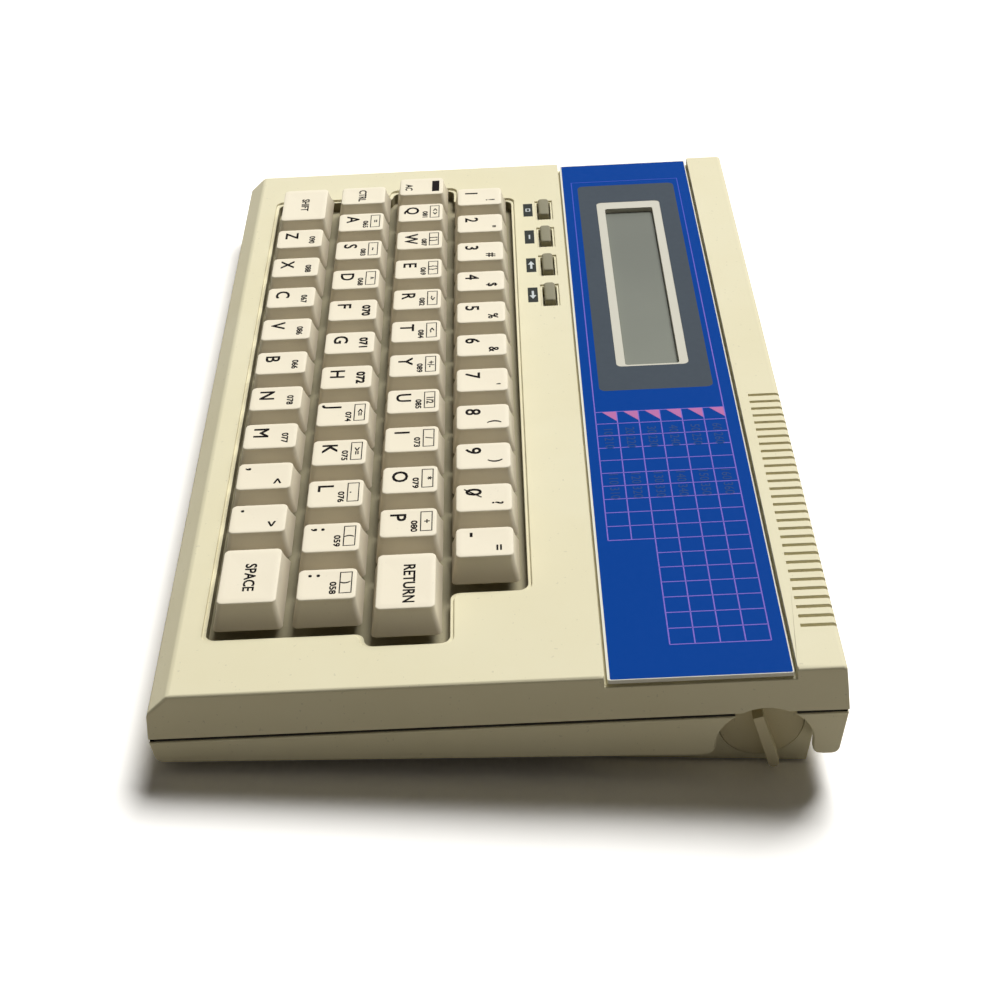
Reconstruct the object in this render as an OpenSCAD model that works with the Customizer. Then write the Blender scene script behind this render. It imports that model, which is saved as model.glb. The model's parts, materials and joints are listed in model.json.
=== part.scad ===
// Educational home computer with a one-line display, a four-row keyboard and a turning side knob.
// Millimetres. The case is drawn with its top face level at z = 0, then stood on its feet, which
// tips it towards the user. X runs from the left end to the right end and Y from front to rear.

/* [Case] */
// Width of the case at the seam between the shells
case_w = 230; // [222:1:250]
// Depth of the case at the seam
case_d = 137; // [133:1:150]
// Height of the upper shell
upper_h = 10.2; // [9.8:0.1:12]
// Height of the lower shell's skirt at the front
skirt_front_h = 6.6; // [6:0.1:8]
// Height of the lower shell's skirt at the rear
skirt_rear_h = 12.7; // [11:0.1:13.4]
// Wall thickness of both shells
wall = 2; // [1.8:0.1:2.2]
// How far the upper shell's walls lean out on their way down
upper_lean = 0.75; // [0.3:0.05:1.2]
// Draft angle of the lower shell's walls, in degrees
skirt_draft = 6; // [4:1:10]
// Open seam between the shells, seen from outside
seam_gap = 0.7; // [0.4:0.1:1]
// Depth of the bevel along the front edge
bevel_d = 4.4; // [3:0.1:6]
// Height of the bevel along the front edge
bevel_h = 4; // [3:0.1:5]
// Radius of the rear top edge
rear_edge_r = 1; // [0.6:0.1:2]
// Radius of the lower shell's bottom corners at front and rear
hem_r = 1.8; // [0.6:0.1:2.4]
// Angle at which the case stands on the table, in degrees
tilt = 4.5; // [4:0.1:5]

/* [Keyboard] */
// Seam's left end to the centre of the first number key
keys_left = 31; // [30:0.5:34]
// Seam's right end to the centres of the keys furthest to the right
keys_right = 27; // [26:0.5:30]
// Seam's rear side to the centre of the number row
keys_rear = 70; // [69.5:0.5:72]
// Seam's front side to the centre of the front row
keys_front = 19; // [17.5:0.5:21]
// Gap between the foot of one key and the next along a row
key_gap_x = 0.8; // [0.6:0.1:1.4]
// Gap between the feet of two rows
key_gap_y = 1.9; // [1.2:0.1:2.4]
// How far the left and right sides of a cap draw in on their way up
cap_slope_x = 2.8; // [2:0.1:3]
// How far the front and rear sides of a cap draw in on their way up
cap_slope_y = 1.1; // [0.7:0.1:1.5]
// Height of a key's cap
cap_h = 5.2; // [4.6:0.1:6]
// Wall of a key's cap
cap_wall = 1.2; // [1:0.1:1.4]
// Height of the keys' feet above the top face
cap_lift = 0.4; // [0.2:0.1:0.8]
// Corner trimmed off a key's top face
cap_corner = 2; // [1:0.1:2.6]
// Travel of a key
key_travel = 1.6; // [1.2:0.1:1.6]
// Diameter of a key's stem
stem_d = 5.6; // [5:0.1:6]
// Clearance all round a stem in its guide
stem_play = 0.2; // [0.15:0.05:0.3]
// Margin between the outer keys' feet and the rim of the well, at the row ends
well_margin_x = 2; // [1.4:0.1:2.4]
// Margin between the outer rows' feet and the rim of the well
well_margin_y = 2.3; // [1.6:0.1:2.8]
// Width of the ledge round the well
ledge_w = 0.8; // [0.4:0.1:1]
// Depth of the ledge round the well
ledge_h = 0.6; // [0.3:0.1:0.8]
// Depth of the well's floor below the top face
well_depth = 3.2; // [3:0.1:3.4]
// Thickness of the well's floor and walls
well_wall = 1.6; // [1.2:0.1:1.8]
// Corner radius of the well
well_r = 2; // [1:0.1:3]

/* [Function buttons] */
// Seam's left end to the centre of the first button
buttons_left = 29.9; // [29:0.1:32]
// Seam's rear side to the centre line of the buttons
buttons_rear = 52.5; // [52:0.1:53]
// Length of a button
button_l = 9.4; // [8:0.1:9.6]
// Width of a button
button_w = 2.8; // [2.4:0.1:3.4]
// Height of a button above the top face
button_lift = 1.2; // [0.8:0.1:1.6]
// Length of a button's opening
button_hole_l = 11.2; // [10.8:0.1:11.6]
// Width of a button's opening
button_hole_w = 4.7; // [4.2:0.1:5.2]
// Travel of a button
button_travel = 1.2; // [0.8:0.1:1.4]
// Diameter of a button's post
post_d = 2.6; // [2.2:0.1:2.8]

/* [Display] */
// Seam's rear side to the front edge of the panel's channel
channel_front = 47.6; // [47:0.1:48]
// Front to rear size of the panel's channel
channel_d = 37.2; // [36.6:0.1:37.6]
// Depth of the panel's channel
channel_depth = 2.4; // [2.2:0.1:2.8]
// Thickness of the display panel
panel_t = 0.9; // [0.7:0.1:1.1]
// Depth of the panel's surface below the top face
panel_sink = 0.9; // [0.6:0.1:1.1]
// Gap between the panel and the channel's sides
panel_gap = 0.6; // [0.3:0.1:0.8]
// How far the panel's ends are set back from the top face's ends
panel_set = 0.1; // [0.1:0.1:0.8]
// Seam's left end to the middle of the display window
window_left = 69.9; // [68:0.1:76]
// Length of the display window
window_l = 86.5; // [80:0.1:90]
// Front to rear size of the display window
window_d = 17.5; // [16:0.1:20]
// Width of the frame in front of and behind the glass
frame_side = 2.2; // [1.6:0.1:2.6]
// Width of the frame at the ends of the glass
frame_end = 1.2; // [1:0.1:2.2]
// Depth of the display's face below the panel's surface
face_sink = 1.7; // [1.4:0.1:2.6]
// Thickness of the display glass
glass_t = 1.6; // [1.4:0.1:1.8]

/* [Vents] */
// Number of vent slots
vent_count = 30; // [20:1:31]
// Width of a slot
vent_w = 1; // [0.8:0.1:1.6]
// Seam's left end to the first slot
vent_left = 130.4; // [129:0.1:134]
// Seam's right end to the last slot
vent_right = 13.9; // [12:0.1:15]

/* [Base] */
// Front to rear size of the battery housing
housing_d = 45.7; // [44.5:0.1:46.5]
// Seam's rear side to the battery housing
housing_rear = 5.8; // [5.6:0.1:7]
// Depth from the top face to the housing's bottom at its rear
housing_depth = 28.7; // [28.4:0.1:30]
// Distance of the housing's ends from the seam's ends
housing_inset = 6.2; // [5.6:0.1:6.8]
// Length of the battery bay
bay_l = 104; // [102:1:108]
// Front to rear size of the battery bay
bay_d = 30.4; // [30:0.1:31]
// Height of the battery bay
bay_h = 14.8; // [14.6:0.1:15]
// Thickness of the battery door
door_t = 1.7; // [1.6:0.1:1.9]
// Height of the rear pads below the housing
rear_pad_h = 0.8; // [0.6:0.1:1]

/* [Side knob] */
// Seam's rear side to the knob's axis
knob_rear = 16.2; // [15.6:0.1:16.8]
// Depth of the knob's axis below the seam
knob_drop = 7.6; // [7.4:0.1:8.2]
// Radius of the knob's disc
knob_r = 8.5; // [8:0.05:8.6]
// Thickness of the knob's disc
knob_t = 2; // [1.6:0.1:2.2]
// How far the lever reaches from the knob's centre
lever_reach = 9.5; // [9:0.1:9.7]
// Width of the lever
lever_w = 2.2; // [1.6:0.1:2.4]
// Height of the lever on the disc
lever_h = 3.4; // [2.4:0.1:3.6]
// Angle of the lever behind square to the top face, in degrees
lever_angle = 16; // [0:1:20]
// Radius of the cut-out in the side wall
arch_r = 9.7; // [9.5:0.1:10.2]
// Depth of the cut-out's centre below the seam
arch_drop = 8.6; // [8.2:0.1:9]
// Rounding of the cut-out's lower corner in front
arch_front = 2.6; // [1:0.1:3]
// Rounding of the cut-out's lower corner at the rear
arch_rear = 1.9; // [1:0.1:2.2]

/* [Hidden] */
ROWS = [
    ["key_1", "key_2", "key_3", "key_4", "key_5", "key_6", "key_7", "key_8", "key_9", "key_0", "key_minus"],
    ["key_clear", "key_q", "key_w", "key_e", "key_r", "key_t", "key_y", "key_u", "key_i", "key_o", "key_p",
     "key_return"],
    ["key_control", "key_a", "key_s", "key_d", "key_f", "key_g", "key_h", "key_j", "key_k", "key_l",
     "key_semicolon", "key_colon"],
    ["key_shift", "key_z", "key_x", "key_c", "key_v", "key_b", "key_n", "key_m", "key_comma", "key_period",
     "key_space"]
];
BUTTONS = ["button_mode", "button_insert", "button_left", "button_right"];
$fn = 48;
eps = 0.01;

// Places in pitches from the first number key: the second row starts half a pitch further left and
// the third row a quarter, and three keys are one and a half pitches wide
WIDE_KEYS = ["key_return", "key_shift", "key_space"];
last_row = len(ROWS) - 1;
function last_key(r) = len(ROWS[r]) - 1;
function row_start(r) = r == 1 ? -1 / 2 : r == 2 ? -1 / 4 : 0;
function units(r, c) = len([for (w = WIDE_KEYS) if (w == ROWS[r][c]) 1]) > 0 ? 3 / 2 : 1;
function key_u(r, c) = c == 0 ? row_start(r) : key_u(r, c - 1) + (units(r, c - 1) + units(r, c)) / 2;

// Places in the case's own frame: the top face is z = 0 and the seam's middle is x = y = 0
half_w = case_w / 2;
half_d = case_d / 2;
key_x0 = keys_left - half_w;
key_y0 = half_d - keys_rear;
key_pitch = (case_w - keys_left - keys_right) / max([for (r = [0:last_row]) key_u(r, last_key(r))]);
row_pitch = (case_d - keys_rear - keys_front) / last_row;
function key_x(r, c) = key_x0 + key_u(r, c) * key_pitch;
function key_y(r) = key_y0 - r * row_pitch;
function foot_w(r, c) = units(r, c) * key_pitch - key_gap_x;
foot_d = row_pitch - key_gap_y;
cap_top = cap_lift + cap_h;
button_y = half_d - buttons_rear;
function button_x(i) = buttons_left - half_w + i * key_pitch;
channel_y0 = half_d - channel_front;
channel_y1 = channel_y0 + channel_d;
channel_mid = (channel_y0 + channel_y1) / 2;
window_x = window_left - half_w;
panel_half = half_w - upper_lean - panel_set;
shelf_z = -panel_sink - panel_t;
face_z = -panel_sink - face_sink;
face_play = 0.2;
channel_roof = -channel_depth - wall;

// Heights of the layers under the keys
floor_z = -well_depth - well_wall;
sleeve_h = 0.8;
sleeve_z = floor_z - sleeve_h;
sleeve_wall = 1.4;
flange_play = 0.2;
flange_h = 0.8;
stem_end = sleeve_z - flange_play - flange_h;
dome_play = 0.2;
dome_h = 2;
mat_t = 0.8;
board_t = 1.6;
mat_top = stem_end - dome_play - dome_h;
board_top = mat_top - mat_t;
board_bottom = board_top - board_t;
chip_h = 1.4;
chip_clear = 0.9;
tub_top = board_bottom - chip_h - chip_clear;
tub_bottom = tub_top - wall;
mat_margin = 5.2;
board_margin = 4;
mat_x0 = min([for (r = [0:last_row]) key_x(r, 0)]) - mat_margin;
mat_x1 = max([for (r = [0:last_row]) key_x(r, last_key(r))]) + mat_margin;
mat_y0 = key_y(last_row) - mat_margin;
button_margin = 4.2;
mat_y1 = button_y + button_margin;
peg_r = 1;
peg_play = 0.15;
pillar_r = 2.2;
peg_inset = 2;
peg_set = 3;
PEGS = [for (x = [mat_x0 - board_margin + peg_inset, mat_x1 + board_margin - peg_inset])
    for (y = [mat_y0, (mat_y0 + mat_y1) / 2, mat_y1 - peg_set]) [x, y]];

peg_end = 0.4;
board_edge = 2.5;
foot_corner = 1;
flange_w = 0.7;
button_root = 1.4;
dome_r0 = 3.6;
dome_r1 = 2.6;
dome_bore = 2.2;
dome_bore_h = 1.2;
sounder_r = 9;
sounder_x = key_x0 + 14;
sounder_y = key_y0 - 8.5;
// Chips under the board: left end, front side, length and depth
CHIPS = [[-40, -30, 26, 12], [5, -34, 30, 14], [10, -8, 16, 9], [50, -30, 22, 9], [-52, -4, 18, 8]];

// Parts of the display under the panel
shelf_in = 1;
glass_lap = 4;
glass_board_lap = 7.4;
glass_board_l = window_l + 2 * glass_board_lap;
glass_board_d = 30;
glass_board_t = 1.2;
glass_board_z = channel_roof - glass_t - glass_board_t;
GLASS_PEGS = [for (x = [-1, 1]) for (y = [-1, 1])
    [window_x + x * (glass_board_l / 2 - peg_inset), channel_mid + y * (glass_board_d / 2 - peg_inset)]];

// Vents: set back from the channel, and how far they run down the rear wall
vent_pitch = (case_w - vent_left - vent_right) / (vent_count - 1);
vent_set = 2.3;
vent_drop = 3.5;

// Lower shell
rim_z = -upper_h - seam_gap;
lap = 1;
skirt_front_z = -upper_h - skirt_front_h;
skirt_rear_z = -upper_h - skirt_rear_h;
skirt_in = tan(skirt_draft);
function skirt_z(y) = skirt_front_z + (skirt_rear_z - skirt_front_z) * (y + half_d) / case_d;

// Side knob: its axis lies along X
knob_y = half_d - knob_rear;
knob_z = -upper_h - knob_drop;
knob_face = half_w - housing_inset;
knob_proud = 0.3;
knob_play = 0.25;
knob_block = 7;
knob_roof = 2.4;
knob_top = knob_z + knob_r + knob_play + knob_roof;
end_play = 0.1;
knob_seat = knob_face + knob_proud - knob_t - end_play;
shaft_r = 2;
shaft_play = 0.05;
collar_r = 3;
collar_t = 1.1;
lever_top = 4.4;
arch_z = -upper_h - arch_drop;

// Standing on the table: the case's frame turned by tilt and lifted, so that the housing's
// bottom is level and clear of the table by the rear pads
housing_y = half_d - housing_rear;
lift = rear_pad_h - housing_y * sin(tilt) + housing_depth * cos(tilt);
shift_y = -upper_h * sin(tilt);
function row_y(y, z) = y * cos(tilt) - z * sin(tilt) + shift_y;
function row_z(y, z) = y * sin(tilt) + z * cos(tilt) + lift;
housing_y1 = row_y(housing_y, -housing_depth);
housing_y0 = housing_y1 - housing_d;
housing_wall = 3.1;
housing_draft = 1;
housing_top = row_z(housing_y, tub_bottom) + wall / 2;
bay_x = -8;
bay_y = (housing_y0 + housing_y1) / 2;
bay_wall = 1.2;
door_play = 0.25;
door_lip = 2;
tongue = 1.2;
rail_t = 0.75;
rail_play = 0.15;
door_y0 = bay_y - bay_d / 2 - door_lip;
door_y1 = housing_y1 - housing_draft;
bay_z0 = rear_pad_h + door_t + door_play;
bay_z1 = bay_z0 + bay_h;

// Screws, case frame
screw_r = 1.2;
screw_play = 0.15;
thread_play = 0.05;
head_r = 2;
head_h = 1.1;
boss_r = 3;
head_play = 0.3;
slot_l = 1.2;
slot_w = 0.25;
screw_seat = tub_top - 0.8;
tip_roof = 0.8;
tip_play = 0.3;
screw_tip = channel_roof - tip_roof - tip_play;
screw_side = 9;
screw_front = 8.5;
screw_rear = 58.5;
deep_left = 13;
deep_right = 37;
SCREWS = [for (x = [-1, 1]) for (y = [screw_front - half_d, half_d - screw_rear])
    [x * (half_w - screw_side), y]];
DEEP_SCREWS = [for (x = [deep_left - half_w, half_w - deep_right]) [x, channel_mid]];
deep_well_r = 2.8;
deep_z0 = (rear_pad_h + housing_wall / 2 - lift - channel_mid * sin(tilt)) / cos(tilt);

// Feet, level with the table
front_pad_r = 5;
front_pad_h = 1.6;
pad_sink = 0.4;
rear_pad_r = 4.5;
pad_play = 0.1;
pedestal_r = 6.5;
front_pad_side = 23;
front_pad_set = 13.5;
rear_pad_side = 21;
rear_pad_set = 8;
FRONT_PADS = [for (x = [-1, 1])
    [x * (half_w - front_pad_side), row_y(front_pad_set - half_d, tub_bottom)]];
REAR_PADS = [for (x = [-1, 1]) for (y = [housing_y0 + rear_pad_set, housing_y1 - rear_pad_set])
    [x * (half_w - rear_pad_side), y]];

// Colours
beige = [0.86, 0.83, 0.71];
cream = [0.93, 0.90, 0.83];
olive = [0.56, 0.54, 0.44];
blue = [0.0, 0.27, 0.60];

// ---- Helpers ----

module stand() translate([0, shift_y, lift]) rotate([tilt, 0, 0]) children();

// A profile in the Y-Z plane, extruded along X from x0 to x1
module along_x(x0, x1) translate([x0, 0, 0]) rotate([90, 0, 90]) linear_extrude(x1 - x0) children();

// A profile in the X-Z plane, extruded along Y and centred
module along_y(length) rotate([90, 0, 0]) linear_extrude(length, center = true) children();

module rod_x(r, x0, x1, z = knob_z)
    translate([x0, knob_y, z]) rotate([0, 90, 0]) cylinder(h = x1 - x0, r = r);

module rod_z(x, y, r, z0, z1) translate([x, y, z0]) cylinder(h = z1 - z0, r = r);

module block(x0, x1, y0, y1, z0, z1) translate([x0, y0, z0]) cube([x1 - x0, y1 - y0, z1 - z0]);

// Right-angled outline with its corners rounded; points on a straight run are dropped
function unit(v) = v / norm(v);
function bend(a, b, c) = (b[0] - a[0]) * (c[1] - b[1]) - (b[1] - a[1]) * (c[0] - b[0]);
function wrap(p, i) = p[(i + len(p)) % len(p)];
function corners_of(p) = [
    for (i = [0:len(p) - 1]) if (abs(bend(wrap(p, i - 1), p[i], wrap(p, i + 1))) > eps) p[i]];
function rounded(p, r, n = 5) = let (q = corners_of(p)) [
    for (i = [0:len(q) - 1])
        let (b = q[i], ab = wrap(q, i - 1) - b, cb = wrap(q, i + 1) - b)
        let (t = min(r, norm(ab) / 2, norm(cb) / 2), ua = unit(ab) * t, uc = unit(cb) * t)
        for (k = [0:n]) b + ua + uc - uc * cos(90 * k / n) - ua * sin(90 * k / n)];

// Outline of the key well, drawn in by inset from the rim: each row is as long as its keys
function well_right(r, inset) = key_x(r, last_key(r)) + foot_w(r, last_key(r)) / 2 + well_margin_x - inset;
function well_left(r, inset) = key_x(r, 0) - foot_w(r, 0) / 2 - well_margin_x + inset;
function row_reach(inset) = foot_d / 2 + well_margin_y - inset;
function row_edge(r, inset, near, far) =
    near > far ? key_y(r + 1) + row_reach(inset) : key_y(r) - row_reach(inset);
function well_points(inset) = let (
    y0 = key_y(last_row) - row_reach(inset),
    y1 = key_y(0) + row_reach(inset),
    right = [for (r = [0:last_row]) well_right(r, inset)],
    left = [for (r = [0:last_row]) -well_left(r, inset)],
    edge = function (v, r) r < 0 ? y1 : r == last_row ? y0 : row_edge(r, inset, v[r + 1], v[r])
) concat(
    [for (k = [0:last_row]) let (r = last_row - k)
        for (y = [edge(right, r), edge(right, r - 1)]) [right[r], y]],
    [for (r = [0:last_row]) for (y = [edge(left, r - 1), edge(left, r)]) [-left[r], y]]);
module well(inset, z0, z1)
    translate([0, 0, z0]) linear_extrude(z1 - z0) polygon(rounded(well_points(inset), well_r));

// A bar along Y with sloping sides: a wide at its foot and b wide at its top
module sloped(a, b, h, length)
    along_y(length) polygon([[-a / 2, 0], [a / 2, 0], [b / 2, h], [-b / 2, h]]);

// A block whose four sides and four trimmed corners taper evenly from foot to top
module tapered(w0, d0, w1, d1, h, corner0, corner1) {
    reach = w0 + d0;
    c0 = (reach - 2 * corner0) / sqrt(2);
    c1 = (w1 + d1 - 2 * corner1) / sqrt(2);
    intersection() {
        sloped(w0, w1, h, reach);
        rotate([0, 0, 90]) sloped(d0, d1, h, reach);
        rotate([0, 0, 45]) sloped(c0, c1, h, reach);
        rotate([0, 0, -45]) sloped(c0, c1, h, reach);
    }
}

// ---- Upper shell ----

function lean_at(z) = upper_lean * (z + upper_h) / upper_h;

// Front to rear section of the upper shell's outside, drawn in by t
function upper_side(t, z0) = let (
    a = atan2(bevel_h, bevel_d),
    front = lean_at(-bevel_h) - half_d,
    rear = half_d - upper_lean - t,
    r = rear_edge_r - t
) concat(
    [[t - half_d, z0], [half_d - t, z0]],
    r < 0.1 ? [[rear, -t]] : [for (k = [0:6]) [rear - r + r * cos(15 * k), -t - r + r * sin(15 * k)]],
    [[front + bevel_d + t * tan(a / 2), -t], [front + t, -bevel_h - t * tan(45 - a / 2)]]);

module upper_block(t, z0) intersection() {
    along_x(-case_w, case_w) polygon(upper_side(t, z0));
    along_y(2 * case_d) polygon([
        [t - half_w, z0], [half_w - t, z0],
        [half_w - t - upper_lean, 0], [upper_lean + t - half_w, 0]]);
}

module button_block(i, l, w, z0, z1)
    block(button_x(i) - l / 2, button_x(i) + l / 2, button_y - w / 2, button_y + w / 2, z0, z1);

// A block centred on the display window
module window_block(l, d, z0, z1)
    block(window_x - l / 2, window_x + l / 2, channel_mid - d / 2, channel_mid + d / 2, z0, z1);

module upper_walls() {
    difference() {
        upper_block(0, -upper_h);
        upper_block(wall, -upper_h - eps);
    }
    well(ledge_w - well_wall, floor_z, -wall / 2);
    span = half_w - upper_lean - wall / 2;
    block(-span, span, channel_y0 - wall, channel_y1 + wall, channel_roof, -wall / 2);
    for (i = [0:len(BUTTONS) - 1]) {
        button_block(i, button_hole_l + 2 * well_wall, button_hole_w + 2 * well_wall, floor_z, -wall / 2);
        rod_z(button_x(i), button_y, post_d / 2 + stem_play + sleeve_wall, sleeve_z, floor_z + eps);
    }
    for (r = [0:last_row]) for (c = [0:last_key(r)])
        rod_z(key_x(r, c), key_y(r), stem_d / 2 + stem_play + sleeve_wall, sleeve_z, floor_z + eps);
    for (s = SCREWS) rod_z(s[0], s[1], boss_r, -upper_h, -wall / 2);
    for (s = DEEP_SCREWS) rod_z(s[0], s[1], boss_r, -upper_h, channel_roof + eps);
    for (p = GLASS_PEGS) rod_z(p[0], p[1], peg_r, glass_board_z - peg_end, channel_roof + eps);
}

module vents() {
    for (i = [0:vent_count - 1]) {
        x = vent_left - half_w + i * vent_pitch;
        block(x - vent_w / 2, x + vent_w / 2, channel_y1 + vent_set, case_d, -vent_drop, 1);
    }
}

module top_shell() {
    color(beige) stand() difference() {
        union() {
            difference() {
                upper_walls();
                block(-case_w, case_w, channel_y0, channel_y1, -channel_depth, 1);
            }
            block(shelf_in - panel_half, panel_half - shelf_in, channel_y0 + panel_gap + shelf_in,
                channel_y1 - panel_gap - shelf_in, -channel_depth - eps, shelf_z);
        }
        well(0, -ledge_h, 1);
        well(ledge_w, -well_depth, 1);
        for (r = [0:last_row]) for (c = [0:last_key(r)])
            rod_z(key_x(r, c), key_y(r), stem_d / 2 + stem_play, sleeve_z - 1, -well_depth + 1);
        for (i = [0:len(BUTTONS) - 1]) {
            button_block(i, button_hole_l, button_hole_w, -well_depth, 1);
            rod_z(button_x(i), button_y, post_d / 2 + stem_play, sleeve_z - 1, -well_depth + 1);
        }
        window_block(window_l - 2 * frame_end, window_d - 2 * frame_side, channel_roof - 1, 1);
        vents();
        for (s = concat(SCREWS, DEEP_SCREWS))
            rod_z(s[0], s[1], screw_r + thread_play, -upper_h - 1, screw_tip + tip_play);
        rod_x(arch_r, half_w - 2 * wall, case_w, arch_z);
    }
}

// ---- Display ----

module display_panel() {
    color(blue) stand() difference() {
        block(-panel_half, panel_half, channel_y0 + panel_gap, channel_y1 - panel_gap, shelf_z, -panel_sink);
        window_block(window_l, window_d, shelf_z - 1, 1);
    }
}

module lcd_module() {
    face_l = window_l - 2 * frame_end - 2 * face_play;
    face_d = window_d - 2 * frame_side - 2 * face_play;
    color([0.42, 0.47, 0.38]) stand() {
        window_block(face_l, face_d, channel_roof - eps, face_z);
        window_block(window_l + 2 * glass_lap, window_d + glass_lap, channel_roof - glass_t, channel_roof);
        difference() {
            window_block(glass_board_l, glass_board_d, glass_board_z, channel_roof - glass_t + eps);
            for (p = GLASS_PEGS)
                rod_z(p[0], p[1], peg_r + peg_play, glass_board_z - 1, channel_roof);
        }
    }
}

// ---- Keys ----

module keycap(r, c) {
    w0 = foot_w(r, c);
    w1 = w0 - 2 * cap_slope_x;
    d0 = foot_d;
    d1 = d0 - 2 * cap_slope_y;
    inner = 2 * cap_wall;
    color(cream) stand() translate([key_x(r, c), key_y(r), 0]) {
        translate([0, 0, cap_lift]) difference() {
            tapered(w0, d0, w1, d1, cap_h, foot_corner, cap_corner);
            translate([0, 0, -eps]) tapered(w0 - inner, d0 - inner, w1 - inner, d1 - inner,
                cap_h - cap_wall, foot_corner / 2, cap_corner / 2);
        }
        rod_z(0, 0, stem_d / 2, stem_end, cap_top - cap_wall / 2);
        rod_z(0, 0, stem_d / 2 + flange_w, stem_end, stem_end + flange_h);
    }
}

module function_button(i) {
    color(olive) stand() {
        button_block(i, button_l, button_w, -button_root, button_lift);
        rod_z(button_x(i), button_y, post_d / 2, stem_end, -button_root + eps);
        rod_z(button_x(i), button_y, post_d / 2 + flange_w + stem_play, stem_end, stem_end + flange_h);
    }
}

// ---- Electronics ----

module dome(x, y) {
    rod_z(x, y, dome_r0, board_top, mat_top);
    translate([x, y, mat_top]) cylinder(h = dome_h, r1 = dome_r0, r2 = dome_r1);
}

module dome_mat() {
    color([0.75, 0.74, 0.70]) stand() difference() {
        union() {
            block(mat_x0, mat_x1, mat_y0, mat_y1, board_top, mat_top);
            for (r = [0:last_row]) for (c = [0:last_key(r)]) dome(key_x(r, c), key_y(r));
            for (i = [0:len(BUTTONS) - 1]) dome(button_x(i), button_y);
        }
        for (r = [0:last_row]) for (c = [0:last_key(r)])
            rod_z(key_x(r, c), key_y(r), dome_bore, board_top - 1, mat_top + dome_bore_h);
        for (i = [0:len(BUTTONS) - 1])
            rod_z(button_x(i), button_y, dome_bore, board_top - 1, mat_top + dome_bore_h);
    }
}

module main_board() {
    color([0.12, 0.35, 0.20]) stand() {
        difference() {
            block(mat_x0 - board_margin, mat_x1 + board_margin, mat_y0 - board_edge, mat_y1 + board_edge,
                board_bottom, board_top);
            for (p = PEGS) rod_z(p[0], p[1], peg_r + peg_play, board_bottom - 1, board_top + 1);
        }
        for (chip = CHIPS)
            block(chip[0], chip[0] + chip[2], chip[1], chip[1] + chip[3], board_bottom - chip_h,
                board_bottom + eps);
        rod_z(sounder_x, sounder_y, sounder_r, board_bottom - chip_h, board_bottom + eps);
    }
}

// ---- Lower shell ----

// A corner p of an outline, between its neighbours a and b, rounded from r before it to r after it
function turned(a, p, b, r, n = 5) = r == 0 ? [p] : let (a1 = unit(a - p) * r, b1 = unit(b - p) * r) [
    for (k = [0:n]) let (t = k / n) p + (1 - t) * (1 - t) * a1 + t * t * b1];

// Section of the lower shell: upright above its rim, drawn in by the draft below it
function skirt_section(half, z1, z_front, z_rear, r) = let (
    front = [skirt_in * (rim_z - z_front) - half, z_front],
    rear = [half - skirt_in * (rim_z - z_rear), z_rear]
) concat(
    [[-half, z1], [-half, rim_z]],
    turned([-half, rim_z], front, rear, r),
    turned(front, rear, [half, rim_z], r),
    [[half, rim_z], [half, z1]]);

module skirt(t, drop, r = 0) intersection() {
    along_x(-case_w, case_w)
        polygon(skirt_section(half_d - t, -upper_h + drop, skirt_front_z - drop, skirt_rear_z - drop, r));
    along_y(2 * case_d)
        polygon(skirt_section(half_w - t, -upper_h + drop, skirt_rear_z - drop, skirt_rear_z - drop, 0));
}

// The battery housing, level with the table; only the part below the case's floor is kept
module housing() {
    intersection() {
        along_x(-knob_face, knob_face) polygon([
            [housing_y0 + housing_draft, rear_pad_h], [housing_y1 - housing_draft, rear_pad_h],
            [housing_y1, housing_top], [housing_y0, housing_top]]);
        stand() block(-case_w, case_w, -case_d, case_d, -case_w, tub_top);
    }
}

module bay_block(side, z0, z1) {
    half_l = bay_l / 2 + side;
    half_bay = bay_d / 2 + side;
    block(bay_x - half_l, bay_x + half_l, bay_y - half_bay, bay_y + half_bay, z0, z1);
}

// Door-shaped block: as wide as the door plus side on each side, open towards the rear
module door_block(side, y0, y1, z0, z1) block(
    bay_x - bay_l / 2 - door_lip - side, bay_x + bay_l / 2 + door_lip + side, y0, y1, z0, z1);

module lower_body() {
    difference() {
        union() {
            stand() difference() {
                skirt(0, 0, hem_r);
                intersection() {
                    skirt(wall, 1);
                    union() {
                        block(-case_w, case_w, -case_d, case_d, tub_top, 1);
                        block(-case_w, case_w, -case_d, case_d, -case_w, tub_bottom);
                    }
                }
                difference() {
                    block(-case_w, case_w, -case_d, case_d, rim_z, 1);
                    block(lap - half_w, half_w - lap, lap - half_d, half_d - lap, -case_w, 2);
                }
            }
            housing();
        }
        block(wall - knob_face, knob_face - knob_block, housing_y0 + wall + housing_draft,
            housing_y1 - wall - housing_draft, rear_pad_h + housing_wall, housing_top + 2 * wall);
    }
    bay_block(bay_wall, rear_pad_h, bay_z1 + bay_wall);
    for (p = FRONT_PADS)
        rod_z(p[0], p[1], pedestal_r, front_pad_h - pad_sink, row_z(p[1], tub_bottom) + wall / 2);
    stand() {
        block(knob_face - knob_block, knob_face, knob_y - arch_r, knob_y + arch_r, tub_bottom - wall,
            knob_top);
        for (p = PEGS) {
            rod_z(p[0], p[1], pillar_r, tub_top - eps, board_bottom);
            rod_z(p[0], p[1], peg_r, tub_top - eps, board_top + peg_end);
        }
        for (s = SCREWS) rod_z(s[0], s[1], boss_r, tub_top - eps, -upper_h);
        for (s = DEEP_SCREWS) rod_z(s[0], s[1], deep_well_r + bay_wall, deep_z0, tub_top);
        for (s = DEEP_SCREWS) rod_z(s[0], s[1], boss_r, tub_top - eps, -upper_h);
    }
}

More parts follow.
